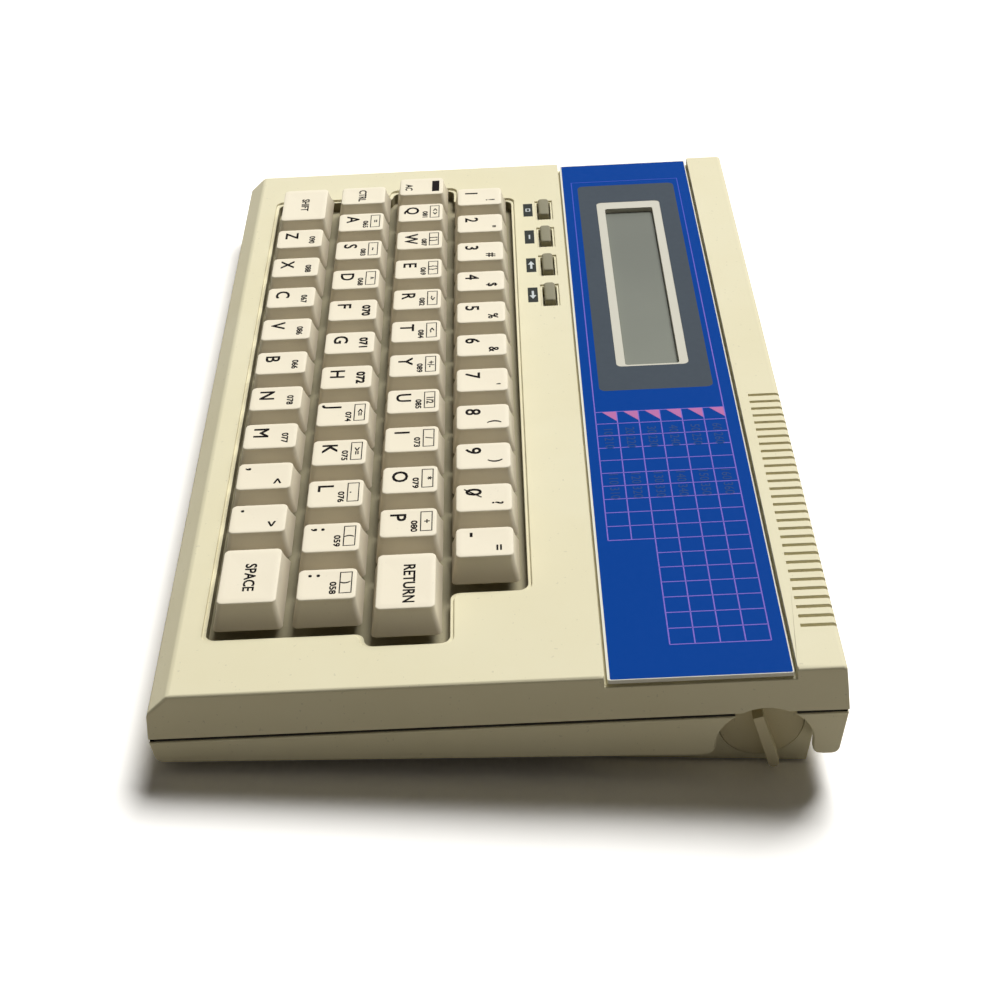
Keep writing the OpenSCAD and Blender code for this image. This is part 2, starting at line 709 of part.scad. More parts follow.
// Opening in the right wall round the knob: an arch whose lower corners turn into the bottom edge
function arch_foot(side, out) = let (y = knob_y + side * (arch_r + out)) [y, skirt_z(y)];
module arch() {
    rod_x(arch_r, knob_face, case_w, arch_z);
    block(knob_face, case_w, knob_y - arch_r, knob_y + arch_r, -case_w, arch_z);
    below = [0, -2 * wall];
    for (side = [-1, 1]) {
        r = side < 0 ? arch_front : arch_rear;
        inward = [-side * wall, 0];
        corner = arch_foot(side, 0);
        end = arch_foot(side, r);
        along_x(knob_face, case_w) polygon(concat(
            turned(corner - below, corner, end, r),
            [end + below, corner + below + inward, corner + [0, r] + inward]));
    }
}

module bottom_shell() {
    color(beige) difference() {
        lower_body();
        bay_block(0, -1, bay_z1);
        door_block(door_play, door_y0, case_d, -1, bay_z0);
        door_block(door_play + tongue, door_y0, case_d, rear_pad_h + rail_t, bay_z0);
        for (p = FRONT_PADS) rod_z(p[0], p[1], front_pad_r + pad_play, -1, front_pad_h);
        for (p = REAR_PADS) rod_z(p[0], p[1], rear_pad_r + pad_play, -1, rear_pad_h + pad_sink);
        stand() {
            arch();
            rod_x(knob_r + knob_play, knob_seat, case_w);
            rod_x(shaft_r + shaft_play, knob_face - knob_block - 1, case_w);
            for (s = SCREWS) rod_z(s[0], s[1], head_r + head_play, -case_w, screw_seat);
            for (s = DEEP_SCREWS) rod_z(s[0], s[1], deep_well_r, -case_w, screw_seat);
            for (s = concat(SCREWS, DEEP_SCREWS)) rod_z(s[0], s[1], screw_r + screw_play, -case_w, 0);
        }
    }
}

module battery_door() {
    color(beige) {
        door_block(0, door_y0 + door_play, door_y1, rear_pad_h, rear_pad_h + door_t);
        door_block(tongue, door_y0 + door_play, door_y1 - wall, rear_pad_h + rail_t + rail_play,
            rear_pad_h + door_t);
    }
}

// ---- Knob, screws and feet ----

module contrast_knob() {
    color(olive) stand() {
        x1 = knob_face + knob_proud;
        inner = knob_face - knob_block - end_play;
        rod_x(knob_r, x1 - knob_t, x1);
        rod_x(shaft_r, inner - collar_t, x1 - knob_t + eps);
        rod_x(collar_r, inner - collar_t, inner);
        translate([0, knob_y, knob_z]) rotate([lever_angle, 0, 0]) {
            tip = lever_w / 2 - lever_reach;
            block(x1 - eps, x1 + lever_h, -lever_w / 2, lever_w / 2, tip, lever_top);
            translate([x1 - eps, 0, tip]) rotate([0, 90, 0]) cylinder(h = lever_h + eps, r = lever_w / 2);
        }
    }
}

module case_screws() {
    color([0.72, 0.72, 0.74]) stand() for (s = concat(SCREWS, DEEP_SCREWS)) difference() {
        union() {
            rod_z(s[0], s[1], screw_r, screw_seat - eps, screw_tip);
            rod_z(s[0], s[1], head_r, screw_seat - head_h, screw_seat);
        }
        block(s[0] - slot_l, s[0] + slot_l, s[1] - slot_w, s[1] + slot_w, screw_seat - 2 * head_h,
            screw_seat - head_h / 2);
        block(s[0] - slot_w, s[0] + slot_w, s[1] - slot_l, s[1] + slot_l, screw_seat - 2 * head_h,
            screw_seat - head_h / 2);
    }
}

module rubber_feet() {
    color([0.15, 0.15, 0.15]) {
        for (p = FRONT_PADS) rod_z(p[0], p[1], front_pad_r, 0, front_pad_h);
        for (p = REAR_PADS) rod_z(p[0], p[1], rear_pad_r, 0, rear_pad_h + pad_sink);
    }
}

top_shell();
bottom_shell();
battery_door();
display_panel();
lcd_module();
dome_mat();
main_board();
contrast_knob();
case_screws();
rubber_feet();
for (i = [0:len(BUTTONS) - 1]) function_button(i);
for (r = [0:last_row]) for (c = [0:last_key(r)]) keycap(r, c);
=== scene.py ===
# %% [markdown]
# # A home computer with a keyboard and a one-line display
#
# This lesson dresses the solid model of a flat home computer. The solids already give every size: two
# shells, a well full of keys, four function buttons, a long display panel, vent slots, a housing for the
# batteries and a small disc with a lever at the right end. What is missing is what the eye sees first:
# soft moulded edges, printed marks, the grain of the plastic and the matt inks of the panel.
#
# The case stands tilted on its feet. Everything here is drawn in the case's own frame, in millimetres,
# where the top face is the plane z = 0, and is then turned and moved to where the solids are.

import json
import math
from collections import namedtuple

import bmesh
import bpy
from mathutils import Matrix, Vector


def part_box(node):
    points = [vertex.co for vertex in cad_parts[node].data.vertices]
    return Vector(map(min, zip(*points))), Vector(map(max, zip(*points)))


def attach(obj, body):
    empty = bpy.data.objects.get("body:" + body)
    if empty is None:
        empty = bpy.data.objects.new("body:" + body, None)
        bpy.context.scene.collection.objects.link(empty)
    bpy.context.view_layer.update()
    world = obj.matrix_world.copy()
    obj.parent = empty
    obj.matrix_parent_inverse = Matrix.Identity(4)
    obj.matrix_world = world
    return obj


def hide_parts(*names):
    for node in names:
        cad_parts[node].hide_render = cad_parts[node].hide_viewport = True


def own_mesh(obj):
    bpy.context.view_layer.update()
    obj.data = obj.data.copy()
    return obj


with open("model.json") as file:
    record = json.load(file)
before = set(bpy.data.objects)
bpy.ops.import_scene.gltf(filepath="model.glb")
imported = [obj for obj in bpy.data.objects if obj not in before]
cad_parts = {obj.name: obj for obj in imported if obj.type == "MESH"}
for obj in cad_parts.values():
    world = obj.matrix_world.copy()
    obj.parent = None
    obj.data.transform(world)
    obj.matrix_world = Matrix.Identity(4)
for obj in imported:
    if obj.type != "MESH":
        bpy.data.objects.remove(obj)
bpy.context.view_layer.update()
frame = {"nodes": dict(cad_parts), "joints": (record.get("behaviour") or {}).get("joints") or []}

# %% [markdown]
# ## The case's own frame
#
# The keys slide square to the top face, so the direction of any key's joint gives the tilt. Turned back by
# that tilt, the upper shell's box gives the rest: its top is the top face and its middle is the origin.

# %% Frame of the case, from the joints and the upper shell
MM = 0.001
press = next(j for j in frame["joints"] if j["name"] == "key_1_press")["axis"]
TURN = Matrix.Rotation(math.atan2(-press[1], press[2]), 4, "X")


def turned_box(node):
    """Corners of a solid's box after the tilt is taken away."""
    points = [TURN.inverted() @ v.co for v in frame["nodes"][node].data.vertices]
    low = Vector([min(p[i] for p in points) for i in range(3)])
    high = Vector([max(p[i] for p in points) for i in range(3)])
    return low, high


shell_low, shell_high = turned_box("top_shell")
ORIGIN = Vector(((shell_low.x + shell_high.x) / 2, (shell_low.y + shell_high.y) / 2, shell_high.z))
UP = TURN.to_3x3() @ Vector((0, 0, 1))
TO_WORLD = TURN @ Matrix.Translation(ORIGIN) @ Matrix.Scale(MM, 4)
TO_CASE = TO_WORLD.inverted()


def case_box(node):
    """Corners of a solid's box in the case's frame, in millimetres."""
    low, high = turned_box(node)
    return (low - ORIGIN) / MM, (high - ORIGIN) / MM


CASE_LOW, CASE_HIGH = case_box("top_shell")
print("upper shell in mm:", [round(v, 2) for v in (*CASE_LOW, *CASE_HIGH)])

# %% [markdown]
# ## A short way to write shader maths
#
# Shader nodes are easier to read as sums. `Wire` holds one socket and turns the operators of Python into
# Math nodes. `Recipe` holds one material and adds any other node from its type, its settings and the
# values of its sockets.

# %% Wires and recipes
class Wire:
    """A socket that takes part in sums."""

    def __init__(self, recipe, socket):
        self.recipe = recipe
        self.socket = socket

    def math(self, operation, *values):
        """One Math node."""
        inputs = dict(enumerate(values))
        return self.recipe.add("ShaderNodeMath", {"operation": operation}, inputs)

    def clipped(self, low, high):
        """0 below low, 1 above high and a smooth step between them."""
        inputs = {"Value": self, "From Min": low, "From Max": high}
        return self.recipe.add("ShaderNodeMapRange", {"interpolation_type": "SMOOTHSTEP"}, inputs)


# A plain number may stand on either side of the sign.
for sign, operation in (("add", "ADD"), ("sub", "SUBTRACT"), ("mul", "MULTIPLY")):
    setattr(Wire, f"__{sign}__", lambda self, other, kind=operation: self.math(kind, self, other))
    setattr(Wire, f"__r{sign}__", lambda self, other, kind=operation: self.math(kind, other, self))


def linear(red, green, blue):
    """A colour as seen on a screen, 0 to 255, as the linear light that a shader wants."""
    def channel(value):
        value /= 255
        return value / 12.92 if value <= 0.04045 else ((value + 0.055) / 1.055) ** 2.4
    return (channel(red), channel(green), channel(blue), 1.0)


class Recipe:
    """One material and the nodes in it."""

    def __init__(self, name):
        self.material = bpy.data.materials.new(name)
        self.material.use_nodes = True
        self.tree = self.material.node_tree
        self.tree.nodes.clear()
        self.out = self.tree.nodes.new("ShaderNodeOutputMaterial")
        self.shader = self.tree.nodes.new("ShaderNodeBsdfPrincipled")
        self.tree.links.new(self.shader.outputs[0], self.out.inputs["Surface"])

    def feed(self, socket, value):
        """Links a wire to a socket, or writes a plain value on it."""
        if isinstance(value, Wire):
            self.tree.links.new(value.socket, socket)
        else:
            socket.default_value = value

    def add(self, kind, settings=None, inputs=None, output=0):
        """Any node, from its type, its settings, what its sockets get and the output to go on with."""
        node = self.tree.nodes.new(kind)
        for name, value in (settings or {}).items():
            setattr(node, name, value)
        for name, value in (inputs or {}).items():
            self.feed(node.inputs[name], value)
        return Wire(self, node.outputs[output])

    def set(self, **values):
        """Values for the shader's own sockets: Base_Color stands for Base Color."""
        for name, value in values.items():
            self.feed(self.shader.inputs[name.replace("_", " ")], value)

    def place(self):
        """The place of a point on its object, in metres."""
        return self.add("ShaderNodeTexCoord", output=3)

    def height(self):
        """Height above the case's top face, in millimetres."""
        inputs = {0: self.place(), 1: UP / MM}
        above = self.add("ShaderNodeVectorMath", {"operation": "DOT_PRODUCT"}, inputs, output=1)
        return above - ORIGIN.z / MM

    def noise(self, size_mm, detail=2.0, stretch=(1, 1, 1)):
        """Noise with patches of about the given size."""
        scaled = self.add("ShaderNodeMapping", inputs={"Vector": self.place(), "Scale": stretch})
        return self.add("ShaderNodeTexNoise",
                        inputs={"Vector": scaled, "Scale": 1 / (size_mm * MM), "Detail": detail})

    def mix(self, factor, first, second):
        """A colour between two colours."""
        inputs = {0: factor, 6: first, 7: second}
        return self.add("ShaderNodeMix", {"data_type": "RGBA"}, inputs, output=2)

    def bump(self, height, depth_mm, strength=1.0, under=None):
        """A surface that rises with height, on top of another bump where one is given."""
        inputs = {"Height": height, "Distance": depth_mm * MM, "Strength": strength}
        if under:
            inputs["Normal"] = under
        return self.add("ShaderNodeBump", inputs=inputs)


print("shader maths is ready")

# %% [markdown]
# ## Moulded plastic
#
# The shells and keys are moulded in a plastic that is never one flat colour. The mould leaves a fine grain,
# hands polish it a little here and there, light yellows it in soft clouds, and dust gathers as faint specks.
# Low on the keys' skirts the colour darkens towards the foot: painted shade, with some grime where no finger
# wipes. One function makes all of these from a few sizes, so that the case, the keys and the buttons are
# cousins and not copies. Each line gives a colour, the roughness, the size and the depth of the grain in
# millimetres, and how much of which tint the clouds bring.

# %% Moulded plastic in several finishes
PATCHES = {"cloud": 38, "fine": 6, "speck": 0.9, "polish": 14}
FINE_SHARE = 0.35
DUST_LIGHT = 0.62
PAINTED_SHADE_HEIGHTS = (0.2, 5.4)


def dimmed(colour, share):
    """The same colour with less light."""
    return [channel * share for channel in colour[:3]] + [1.0]


def moulded(name, colour, roughness, grain_mm, grain_depth, cloud, tint, speck=0.35, painted_shade_and_grime=None):
    """Plastic with grain, clouds of tint, polished patches, a few specks and, where asked, painted shade with
    some grime low down.
    """
    recipe = Recipe(name)
    colour, tint = linear(*colour), linear(*tint)
    clouds = recipe.noise(PATCHES["cloud"], 3.0).clipped(0.35, 0.68)
    fine_clouds = recipe.noise(PATCHES["fine"], 4.0).clipped(0.3, 0.75)
    body = recipe.mix(clouds * cloud, colour, tint)
    body = recipe.mix(fine_clouds * (cloud * FINE_SHARE), body, tint)
    specks = recipe.noise(PATCHES["speck"], 1.0).clipped(0.73, 0.76)
    body = recipe.mix(specks * speck, body, dimmed(colour, DUST_LIGHT))
    # Darker towards the foot: painted shade, with some grime.
    if painted_shade_and_grime:
        share, shade = painted_shade_and_grime
        body = recipe.mix((1 - recipe.height().clipped(*PAINTED_SHADE_HEIGHTS)) * share, body, linear(*shade))
    polish = recipe.noise(PATCHES["polish"], 3.0).clipped(0.4, 0.7)
    grain = recipe.noise(grain_mm, 2.0)
    waves = recipe.noise(grain_mm * 7, 2.0)
    rough = recipe.bump(grain, grain_depth, 0.55, recipe.bump(waves, grain_depth * 2, 0.25))
    recipe.set(Base_Color=body, Roughness=roughness - polish * 0.07 + grain * 0.05, Normal=rough,
               Specular_IOR_Level=0.14)
    return recipe.material


case_plastic = moulded("case_plastic", (228, 221, 189), 0.6, 0.34, 0.018, 0.30, (222, 213, 175))
# The keys darken low on their skirts: painted shade, with some grime.
key_plastic = moulded("key_plastic", (240, 231, 208), 0.5, 0.26, 0.006, 0.20, (235, 224, 195), 0.12,
                      (0.6, (122, 106, 82)))
# A darker plastic for the faces deep in the well: painted shade.
well_painted_shade = moulded("well_painted_shade", (168, 160, 131), 0.65, 0.34, 0.018, 0.4, (146, 137, 108))
knob_plastic = moulded("knob_plastic", (222, 212, 176), 0.55, 0.3, 0.012, 0.25, (212, 200, 160))
button_plastic = moulded("button_plastic", (135, 130, 106), 0.5, 0.3, 0.008, 0.25, (123, 118, 93))
frame_plastic = moulded("frame_plastic", (205, 202, 187), 0.55, 0.3, 0.01, 0.2, (197, 193, 175), 0.1)
board_plastic = moulded("board_green", (46, 104, 62), 0.35, 1.1, 0.02, 0.4, (36, 88, 50))
chip_plastic = moulded("chip_black", (40, 40, 42), 0.5, 0.5, 0.01, 0.3, (52, 52, 54), 0.1)
mat_rubber = moulded("mat_silicone", (196, 194, 184), 0.6, 0.4, 0.01, 0.2, (184, 180, 168))
feet_rubber = moulded("feet_rubber", (44, 43, 41), 0.82, 0.3, 0.03, 0.5, (62, 60, 57))
# Near-black plastic for the strip in the seam: painted shade.
seam_painted_shade = moulded("seam_painted_shade", (26, 22, 14), 0.8, 0.5, 0.01, 0.3, (34, 29, 20), 0.1)
print("plastics:", [m.name for m in bpy.data.materials if m.users == 0])

# %% [markdown]
# ## Inks, display and metal
#
# Printed ink lies as a thin film on the plastic. It has a slight mottle of its own where the screen left
# more or less of it, and it is matt on the keys and on the panel alike. The mauve and pink inks turn bluer
# towards the left end. Each line gives a colour, the roughness, and where they differ the mottle and the
# colour that the ink fades to. The display's face is a smooth grey-green, and the screws are zinc plated.

# %% Inks
FADE = (-0.11, 0.01)
THIN_LIGHT = 0.8


def ink(name, colour, roughness, mottle=0.12, faded=None):
    """A printed film: its colour varies in small patches, and fades to another one towards the left."""
    recipe = Recipe(name)
    colour = linear(*colour)
    patches = recipe.noise(1.6, 3.0).clipped(0.3, 0.7)
    wide = recipe.noise(22, 2.0).clipped(0.35, 0.7)
    shown = recipe.mix((patches * 0.5 + wide * 0.5) * (mottle * 2), colour, dimmed(colour, THIN_LIGHT))
    if faded:
        along = recipe.add("ShaderNodeSeparateXYZ", inputs={"Vector": recipe.place()})
        shown = recipe.mix(along.clipped(*FADE), linear(*faded), shown)
    recipe.set(Base_Color=shown, Roughness=roughness + patches * 0.05,
               Normal=recipe.bump(recipe.noise(9, 2.0), 0.02, 0.12), Specular_IOR_Level=0.02)
    return recipe.material


legend_ink = ink("legend_ink", (26, 22, 21), 0.6)
blue_ink = ink("blue_ink", (0, 63, 147), 0.5, 0.06)
slate_ink = ink("slate_ink", (73, 81, 89), 0.5)
mauve_ink = ink("mauve_ink", (134, 112, 204), 0.5, 0.12, (70, 88, 190))
pink_ink = ink("pink_ink", (188, 116, 170), 0.5, 0.12, (150, 104, 184))
faint_ink = ink("faint_ink", (50, 76, 130), 0.5)
label_ink = ink("label_ink", (58, 61, 58), 0.55)
white_ink = ink("white_ink", (206, 212, 212), 0.55)
# The clear plate's pale colour is a painted highlight for the light that its edges catch.
plate_edge = ink("plate_edge", (226, 224, 210), 0.4, 0.05)
glass_edge = ink("glass_edge", (124, 128, 115), 0.4)
print("inks and films:", len([m for m in bpy.data.materials if "ink" in m.name or "edge" in m.name]))

# %% Display face and zinc
def display_face():
    """Smooth grey-green, a little darker towards the left end."""
    recipe = Recipe("display_glass")
    shade = recipe.noise(30, 2.0).clipped(0.3, 0.7)
    along = recipe.add("ShaderNodeSeparateXYZ", inputs={"Vector": recipe.place()}).clipped(-0.09, 0.0)
    colour = recipe.mix(shade * 0.2 + along * 0.8, linear(114, 117, 108), linear(127, 130, 119))
    recipe.set(Base_Color=colour, Roughness=0.3 + shade * 0.05,
               Normal=recipe.bump(recipe.noise(24, 1.0), 0.02, 0.1), Specular_IOR_Level=0.08)
    return recipe.material


def zinc():
    """Plated steel: bright, with turning marks."""
    recipe = Recipe("zinc_plate")
    marks = recipe.noise(0.5, 3.0, (1, 1, 6))
    recipe.set(Base_Color=recipe.mix(marks, linear(196, 196, 200), linear(160, 162, 168)), Metallic=1.0,
               Roughness=0.28 + marks * 0.2, Normal=recipe.bump(marks, 0.01, 0.3))
    return recipe.material


lcd_glass = display_face()
screw_zinc = zinc()
print("materials:", len(bpy.data.materials))

# %% [markdown]
# ## From mesh to finished piece
#
# Each piece is built in millimetres in the case's frame. One function turns it into the object's frame, gives
# it its material and its body, and hides the solid that it stands for where one is given. Another one builds
# a piece from a copy of a solid: the copy's triangles are merged into flat faces, and the edges that a mould
# would round get a small radius. Smooth shading over such a mesh would drag soft shadows across the flat
# faces, so each flat face keeps its own direction, and only the rounded strips turn from one face to the
# next.

# %% Finish a piece
ROUNDED = "rounded"
SLIVER = 0.002
SAME_PLANE = 0.4


def finish(name, mesh, materials, body="case", replaced=(), in_case=True):
    """Puts a mesh drawn in the case's frame where it belongs and lets it ride on its body."""
    if in_case:
        mesh.transform(TO_WORLD)
    if ROUNDED in mesh.attributes:
        level_shaded(mesh)
    for material in materials:
        mesh.materials.append(material)
    piece = placed(name, mesh)
    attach(piece, body)
    if replaced:
        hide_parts(*replaced)
    return piece


def placed(name, data):
    """A new object in the scene."""
    thing = bpy.data.objects.new(name, data)
    bpy.context.scene.collection.objects.link(thing)
    return thing


def as_mesh(shape, name):
    """Turns a bmesh into a mesh."""
    mesh = bpy.data.meshes.new(name)
    shape.to_mesh(mesh)
    shape.free()
    return mesh


def smooth_by_angle(mesh, degrees=32):
    """Shades the mesh smooth, except across edges sharper than the angle."""
    mesh.shade_smooth()
    mesh.set_sharp_from_angle(angle=math.radians(degrees))
    return mesh


def softened(node, passes, segments=3, angle=34):
    """A copy of a solid in the case's frame. Each pass rounds the sharp edges that its test picks."""
    shape = bmesh.new()
    shape.from_mesh(frame["nodes"][node].data)
    bmesh.ops.remove_doubles(shape, verts=shape.verts, dist=SLIVER * MM)
    shape.transform(TO_CASE)
    bmesh.ops.dissolve_limit(shape, angle_limit=math.radians(SAME_PLANE), verts=shape.verts,
                             edges=shape.edges)
    mark = shape.faces.layers.int.new(ROUNDED)
    rounded = []
    for radius, wanted in passes:
        sharp = [e for e in shape.edges
                 if len(e.link_faces) == 2 and e.calc_face_angle(0) > math.radians(angle) and wanted(e)]
        made = bmesh.ops.bevel(shape, geom=sharp, offset=radius, offset_type="OFFSET", segments=segments,
                               profile=0.5, affect="EDGES", clamp_overlap=False)
        for face in made["faces"]:
            face[mark] = 1
        rounded.append(len(sharp))
    bmesh.ops.dissolve_degenerate(shape, dist=SLIVER, edges=shape.edges)
    print(node, "edges rounded:", rounded, "faces:", len(shape.faces))
    return as_mesh(shape, node)


# %% Flat faces stay flat
PULL = (1.0, 1e-6)
LEAST_PULL = 1e-12


def level_shaded(mesh, degrees=40):
    """Leaves the flat faces flat and lets only the rounded edges between them look round."""
    around = [[] for _ in mesh.vertices]
    for face in mesh.polygons:
        for vertex in face.vertices:
            around[vertex].append(face.index)
    marks = mesh.attributes[ROUNDED]
    edges = [entry.value for entry in marks.data]
    mesh.attributes.remove(marks)
    faces = []
    for face, edge in zip(mesh.polygons, edges):
        weight = (face.area / MM ** 2) ** 2 * PULL[edge] + LEAST_PULL
        faces.append((face.normal.copy(), face.normal * weight, edge))
    limit = math.cos(math.radians(degrees))
    normals = []
    for face in mesh.polygons:
        own, _, own_edge = faces[face.index]
        for vertex in face.vertices:
            near = [weighted for normal, weighted, edge in (faces[i] for i in around[vertex])
                    if edge <= own_edge and normal.dot(own) > limit]
            normals.append(sum(near, Vector()).normalized() if near else own)
    mesh.shade_smooth()
    mesh.normals_split_custom_set(normals)


print("faces in the solids:", sum(len(node.data.polygons) for node in frame["nodes"].values()))

# %% [markdown]
# ## The two shells
#
# A moulded shell has no knife edges: light draws a thin bright line along every rim. On the upper shell the
# rims of the well, the pockets and the window, the bevel and the outside edges are rounded. The long sides of
# the panel's channel stay sharp, and so do the hidden ribs and guides under the keys. The lower shell is
# rounded along its outer walls. Deep inside the well the plastic is darker: painted shade.

# %% Which edges are rounded
EDGE_RADIUS = {"outer": 0.7, "rim": 0.25, "hem": 0.4}
SEAM_Z = CASE_LOW.z
VENTS = {"x0": 14.0, "x1": 103.0, "y": 60.0}
CHANNEL = {"y0": 20.9, "y1": 58.1, "margin": 0.1, "side": 180.0}
WELL_FRONT = -60.0
BEVEL_FOOT = -4.8
BAND = {"top": -1.0, "end": -3.0, "end_width": 2.0, "wall": 1.0, "lip": 1.5}
for node in ("top_shell", "bottom_shell"):
    print(node, "box:", [[round(v, 1) for v in corner] for corner in case_box(node)])


def middle(edge):
    """The point halfway along an edge."""
    return (edge.verts[0].co + edge.verts[1].co) / 2


def in_vents(edge):
    """Whether an edge belongs to the vent slots."""
    at = middle(edge)
    return at.y > VENTS["y"] and VENTS["x0"] < at.x < VENTS["x1"]


def outside(edge, margin=3.2):
    """Whether an edge lies in the outer walls."""
    return all(v.co.x < CASE_LOW.x + margin or v.co.x > CASE_HIGH.x - margin
               or v.co.y < CASE_LOW.y + margin or v.co.y > CASE_HIGH.y - margin for v in edge.verts)


def outer_edge(edge):
    """Top edges, corners and bevel of the upper shell, without the ends of the panel's channel."""
    at = middle(edge)
    at_end = all(abs(v.co.x) > CASE_HIGH.x - BAND["wall"] for v in edge.verts)
    channel_end = CHANNEL["y0"] - CHANNEL["margin"] < at.y < CHANNEL["y1"] + CHANNEL["margin"]
    return (BEVEL_FOOT < at.z and not channel_end and not in_vents(edge)
            and (at_end or all(v.co.y < WELL_FRONT for v in edge.verts)))


def rim_edge(edge):
    """Rims of the well, pockets and window, the channel's ends, and the lip at the seam."""
    at = middle(edge)
    at_end = abs(at.x) > CASE_HIGH.x - BAND["end_width"]
    shown = at.z > BAND["top"] or (at.z > BAND["end"] and at_end)
    lip = at.z < SEAM_Z + BAND["lip"] and outside(edge)
    channel_side = at.z > BAND["top"] and edge.calc_length() > CHANNEL["side"]
    return (shown or lip) and not in_vents(edge) and not channel_side


# %% Upper and lower shell
WELL = {"rear": 14.0, "side": 110.0, "below": -0.75}
upper = softened("top_shell", [(EDGE_RADIUS["outer"], outer_edge), (EDGE_RADIUS["rim"], rim_edge)])
# Faces deep in the well get the darker plastic: painted shade.
for face in upper.polygons:
    at = face.center
    if WELL_FRONT < at.y < WELL["rear"] and abs(at.x) < WELL["side"] and at.z < WELL["below"]:
        face.material_index = 1
finish("shell_upper", upper, [case_plastic, well_painted_shade], replaced=["top_shell"])
lower = softened("bottom_shell", [(EDGE_RADIUS["hem"], outside)])
finish("shell_lower", lower, [case_plastic], replaced=["bottom_shell"])

# %% [markdown]
# Between the shells runs an open seam less than a millimetre high. A thin dark strip, set back from the
# walls, is painted shade for the inside of the seam, so that it reads as a fine black line. It stops on both
# sides of the disc's arch.

# %% Dark strip in the seam, painted shade
SEAM = {"z0": SEAM_Z - 0.68, "z1": SEAM_Z - 0.02, "back": 0.3, "thick": 0.8}
ARCH_SIDES = (46.2, 58.4)


def skin(shape, first, second):
    """Joins two closed rows of as many corners with four-sided faces."""
    for i, corner in enumerate(first):
        j = (i + 1) % len(first)
        shape.faces.new((corner, first[j], second[j], second[i]))


def prism(shape, points, z0, z1):
    """A flat piece with straight sides over corners given in turning order."""
    rows = [[shape.verts.new((px, py, h)) for px, py in points] for h in (z0, z1)]
    shape.faces.new(rows[0][::-1])
    shape.faces.new(rows[1])
    skin(shape, *rows)


def block(shape, x0, x1, y0, y1, z0, z1):
    """A plain closed block."""
    prism(shape, ((x0, y0), (x1, y0), (x1, y1), (x0, y1)), z0, z1)


# The strip stands where the open seam is only in shade: painted shade.
strip = bmesh.new()
ends = (CASE_HIGH.x - SEAM["back"], CASE_HIGH.y - SEAM["back"])
for side in (-1, 1):
    x0, x1 = sorted((side * ends[0], side * (ends[0] - SEAM["thick"])))
    y0, y1 = sorted((side * ends[1], side * (ends[1] - SEAM["thick"])))
    block(strip, -ends[0], ends[0], y0, y1, SEAM["z0"], SEAM["z1"])
    runs = [(-ends[1], ends[1])] if side < 0 else [(-ends[1], ARCH_SIDES[0]), (ARCH_SIDES[1], ends[1])]
    for run in runs:
        block(strip, x0, x1, *run, SEAM["z0"], SEAM["z1"])
finish("seam_painted_shade_strip", as_mesh(strip, "seam_painted_shade_strip"), [seam_painted_shade])
print("seam strip at z", round(SEAM["z0"], 2), "to", round(SEAM["z1"], 2))

# %% [markdown]
# ## Keys
#
# A key cap is a loft: a stack of rounded rectangles that starts at the wide foot, narrows in a slightly
# hollow skirt, turns over a small radius and ends in a top that is dished for the fingertip. Walked down
# again inside, the same stack gives the cap its wall. Building every ring with the same number of points
# lets one loop join them, and a key of one and a half units is the same loft with a longer rectangle.

# %% Loft of rounded rectangles
CORNER_STEPS = 6
HAIR = 0.01


def ring(width, depth, radius, z):
    """Points of a rounded rectangle about the origin, at height z."""
    points = []
    for turn, (sx, sy) in enumerate([(1, 1), (-1, 1), (-1, -1), (1, -1)]):
        for step in range(CORNER_STEPS + 1):
            a = math.radians(90 * (turn + step / CORNER_STEPS))
            points.append((sx * (width / 2 - radius) + radius * math.cos(a),
                           sy * (depth / 2 - radius) + radius * math.sin(a), z))
    return points


def disc(radius, z):
    """Points of a circle. A hair of straight side keeps its corners apart."""
    return ring(2 * radius, 2 * radius, radius - HAIR, z)


def loft(shape, rings, at):
    """Joins rings into a skin. The first and the last ring are closed with a fan."""
    rows = [[shape.verts.new(Vector(p) + at) for p in points] for points in rings]
    for lower_row, upper_row in zip(rows, rows[1:]):
        skin(shape, lower_row, upper_row)
    for row, flip in ((rows[0], True), (rows[-1], False)):
        centre = shape.verts.new(sum((v.co for v in row), Vector()) / len(row))
        for i, vert in enumerate(row):
            following = row[(i + 1) % len(row)]
            shape.faces.new((following, vert, centre) if flip else (vert, following, centre))


def top_edge(width, depth, corner, top_z, radius, angles, narrowing=0.0):
    """Rings that turn over from a wall to a flat top. The corners may narrow on the way."""
    rings = []
    for angle in angles:
        a = math.radians(angle)
        inset = 2 * radius * (1 - math.cos(a))
        rings.append(ring(width - inset, depth - inset, corner - inset * narrowing,
                          top_z - radius * (1 - math.sin(a))))
    return rings


print("points in a ring:", len(disc(1.0, 0)))

# %% Key caps
CAP_WALL = 1.2
FOOT_RADIUS = 1.0
TOP_RADIUS = 1.2
CAP_EDGE = 0.32
EDGE_ANGLES = (30, 60, 90)
DISH = 0.14
DISH_SHARES = (0.82, 0.6, 0.35, 0.12)
SKIRT = {"foot": 0.4, "band": 0.2, "chamfer": 0.3, "steps": 7, "hollow": 0.22}
HOLLOW = {"corner": 0.8, "shoulder": 1.2, "slope": 2, "drop": 0.4}
STEM_RADIUS = 2.8
TOP_TRIM = (5.1, 2.1)
KEY_NODES = [n for n in frame["nodes"] if n.startswith("key_")]
STEM_END = case_box(KEY_NODES[0])[0].z


def key_place(node):
    """Centre, foot size and top height of a key, from its solid."""
    low, high = case_box(node)
    return (low + high) / 2, high.x - low.x, high.y - low.y, high.z


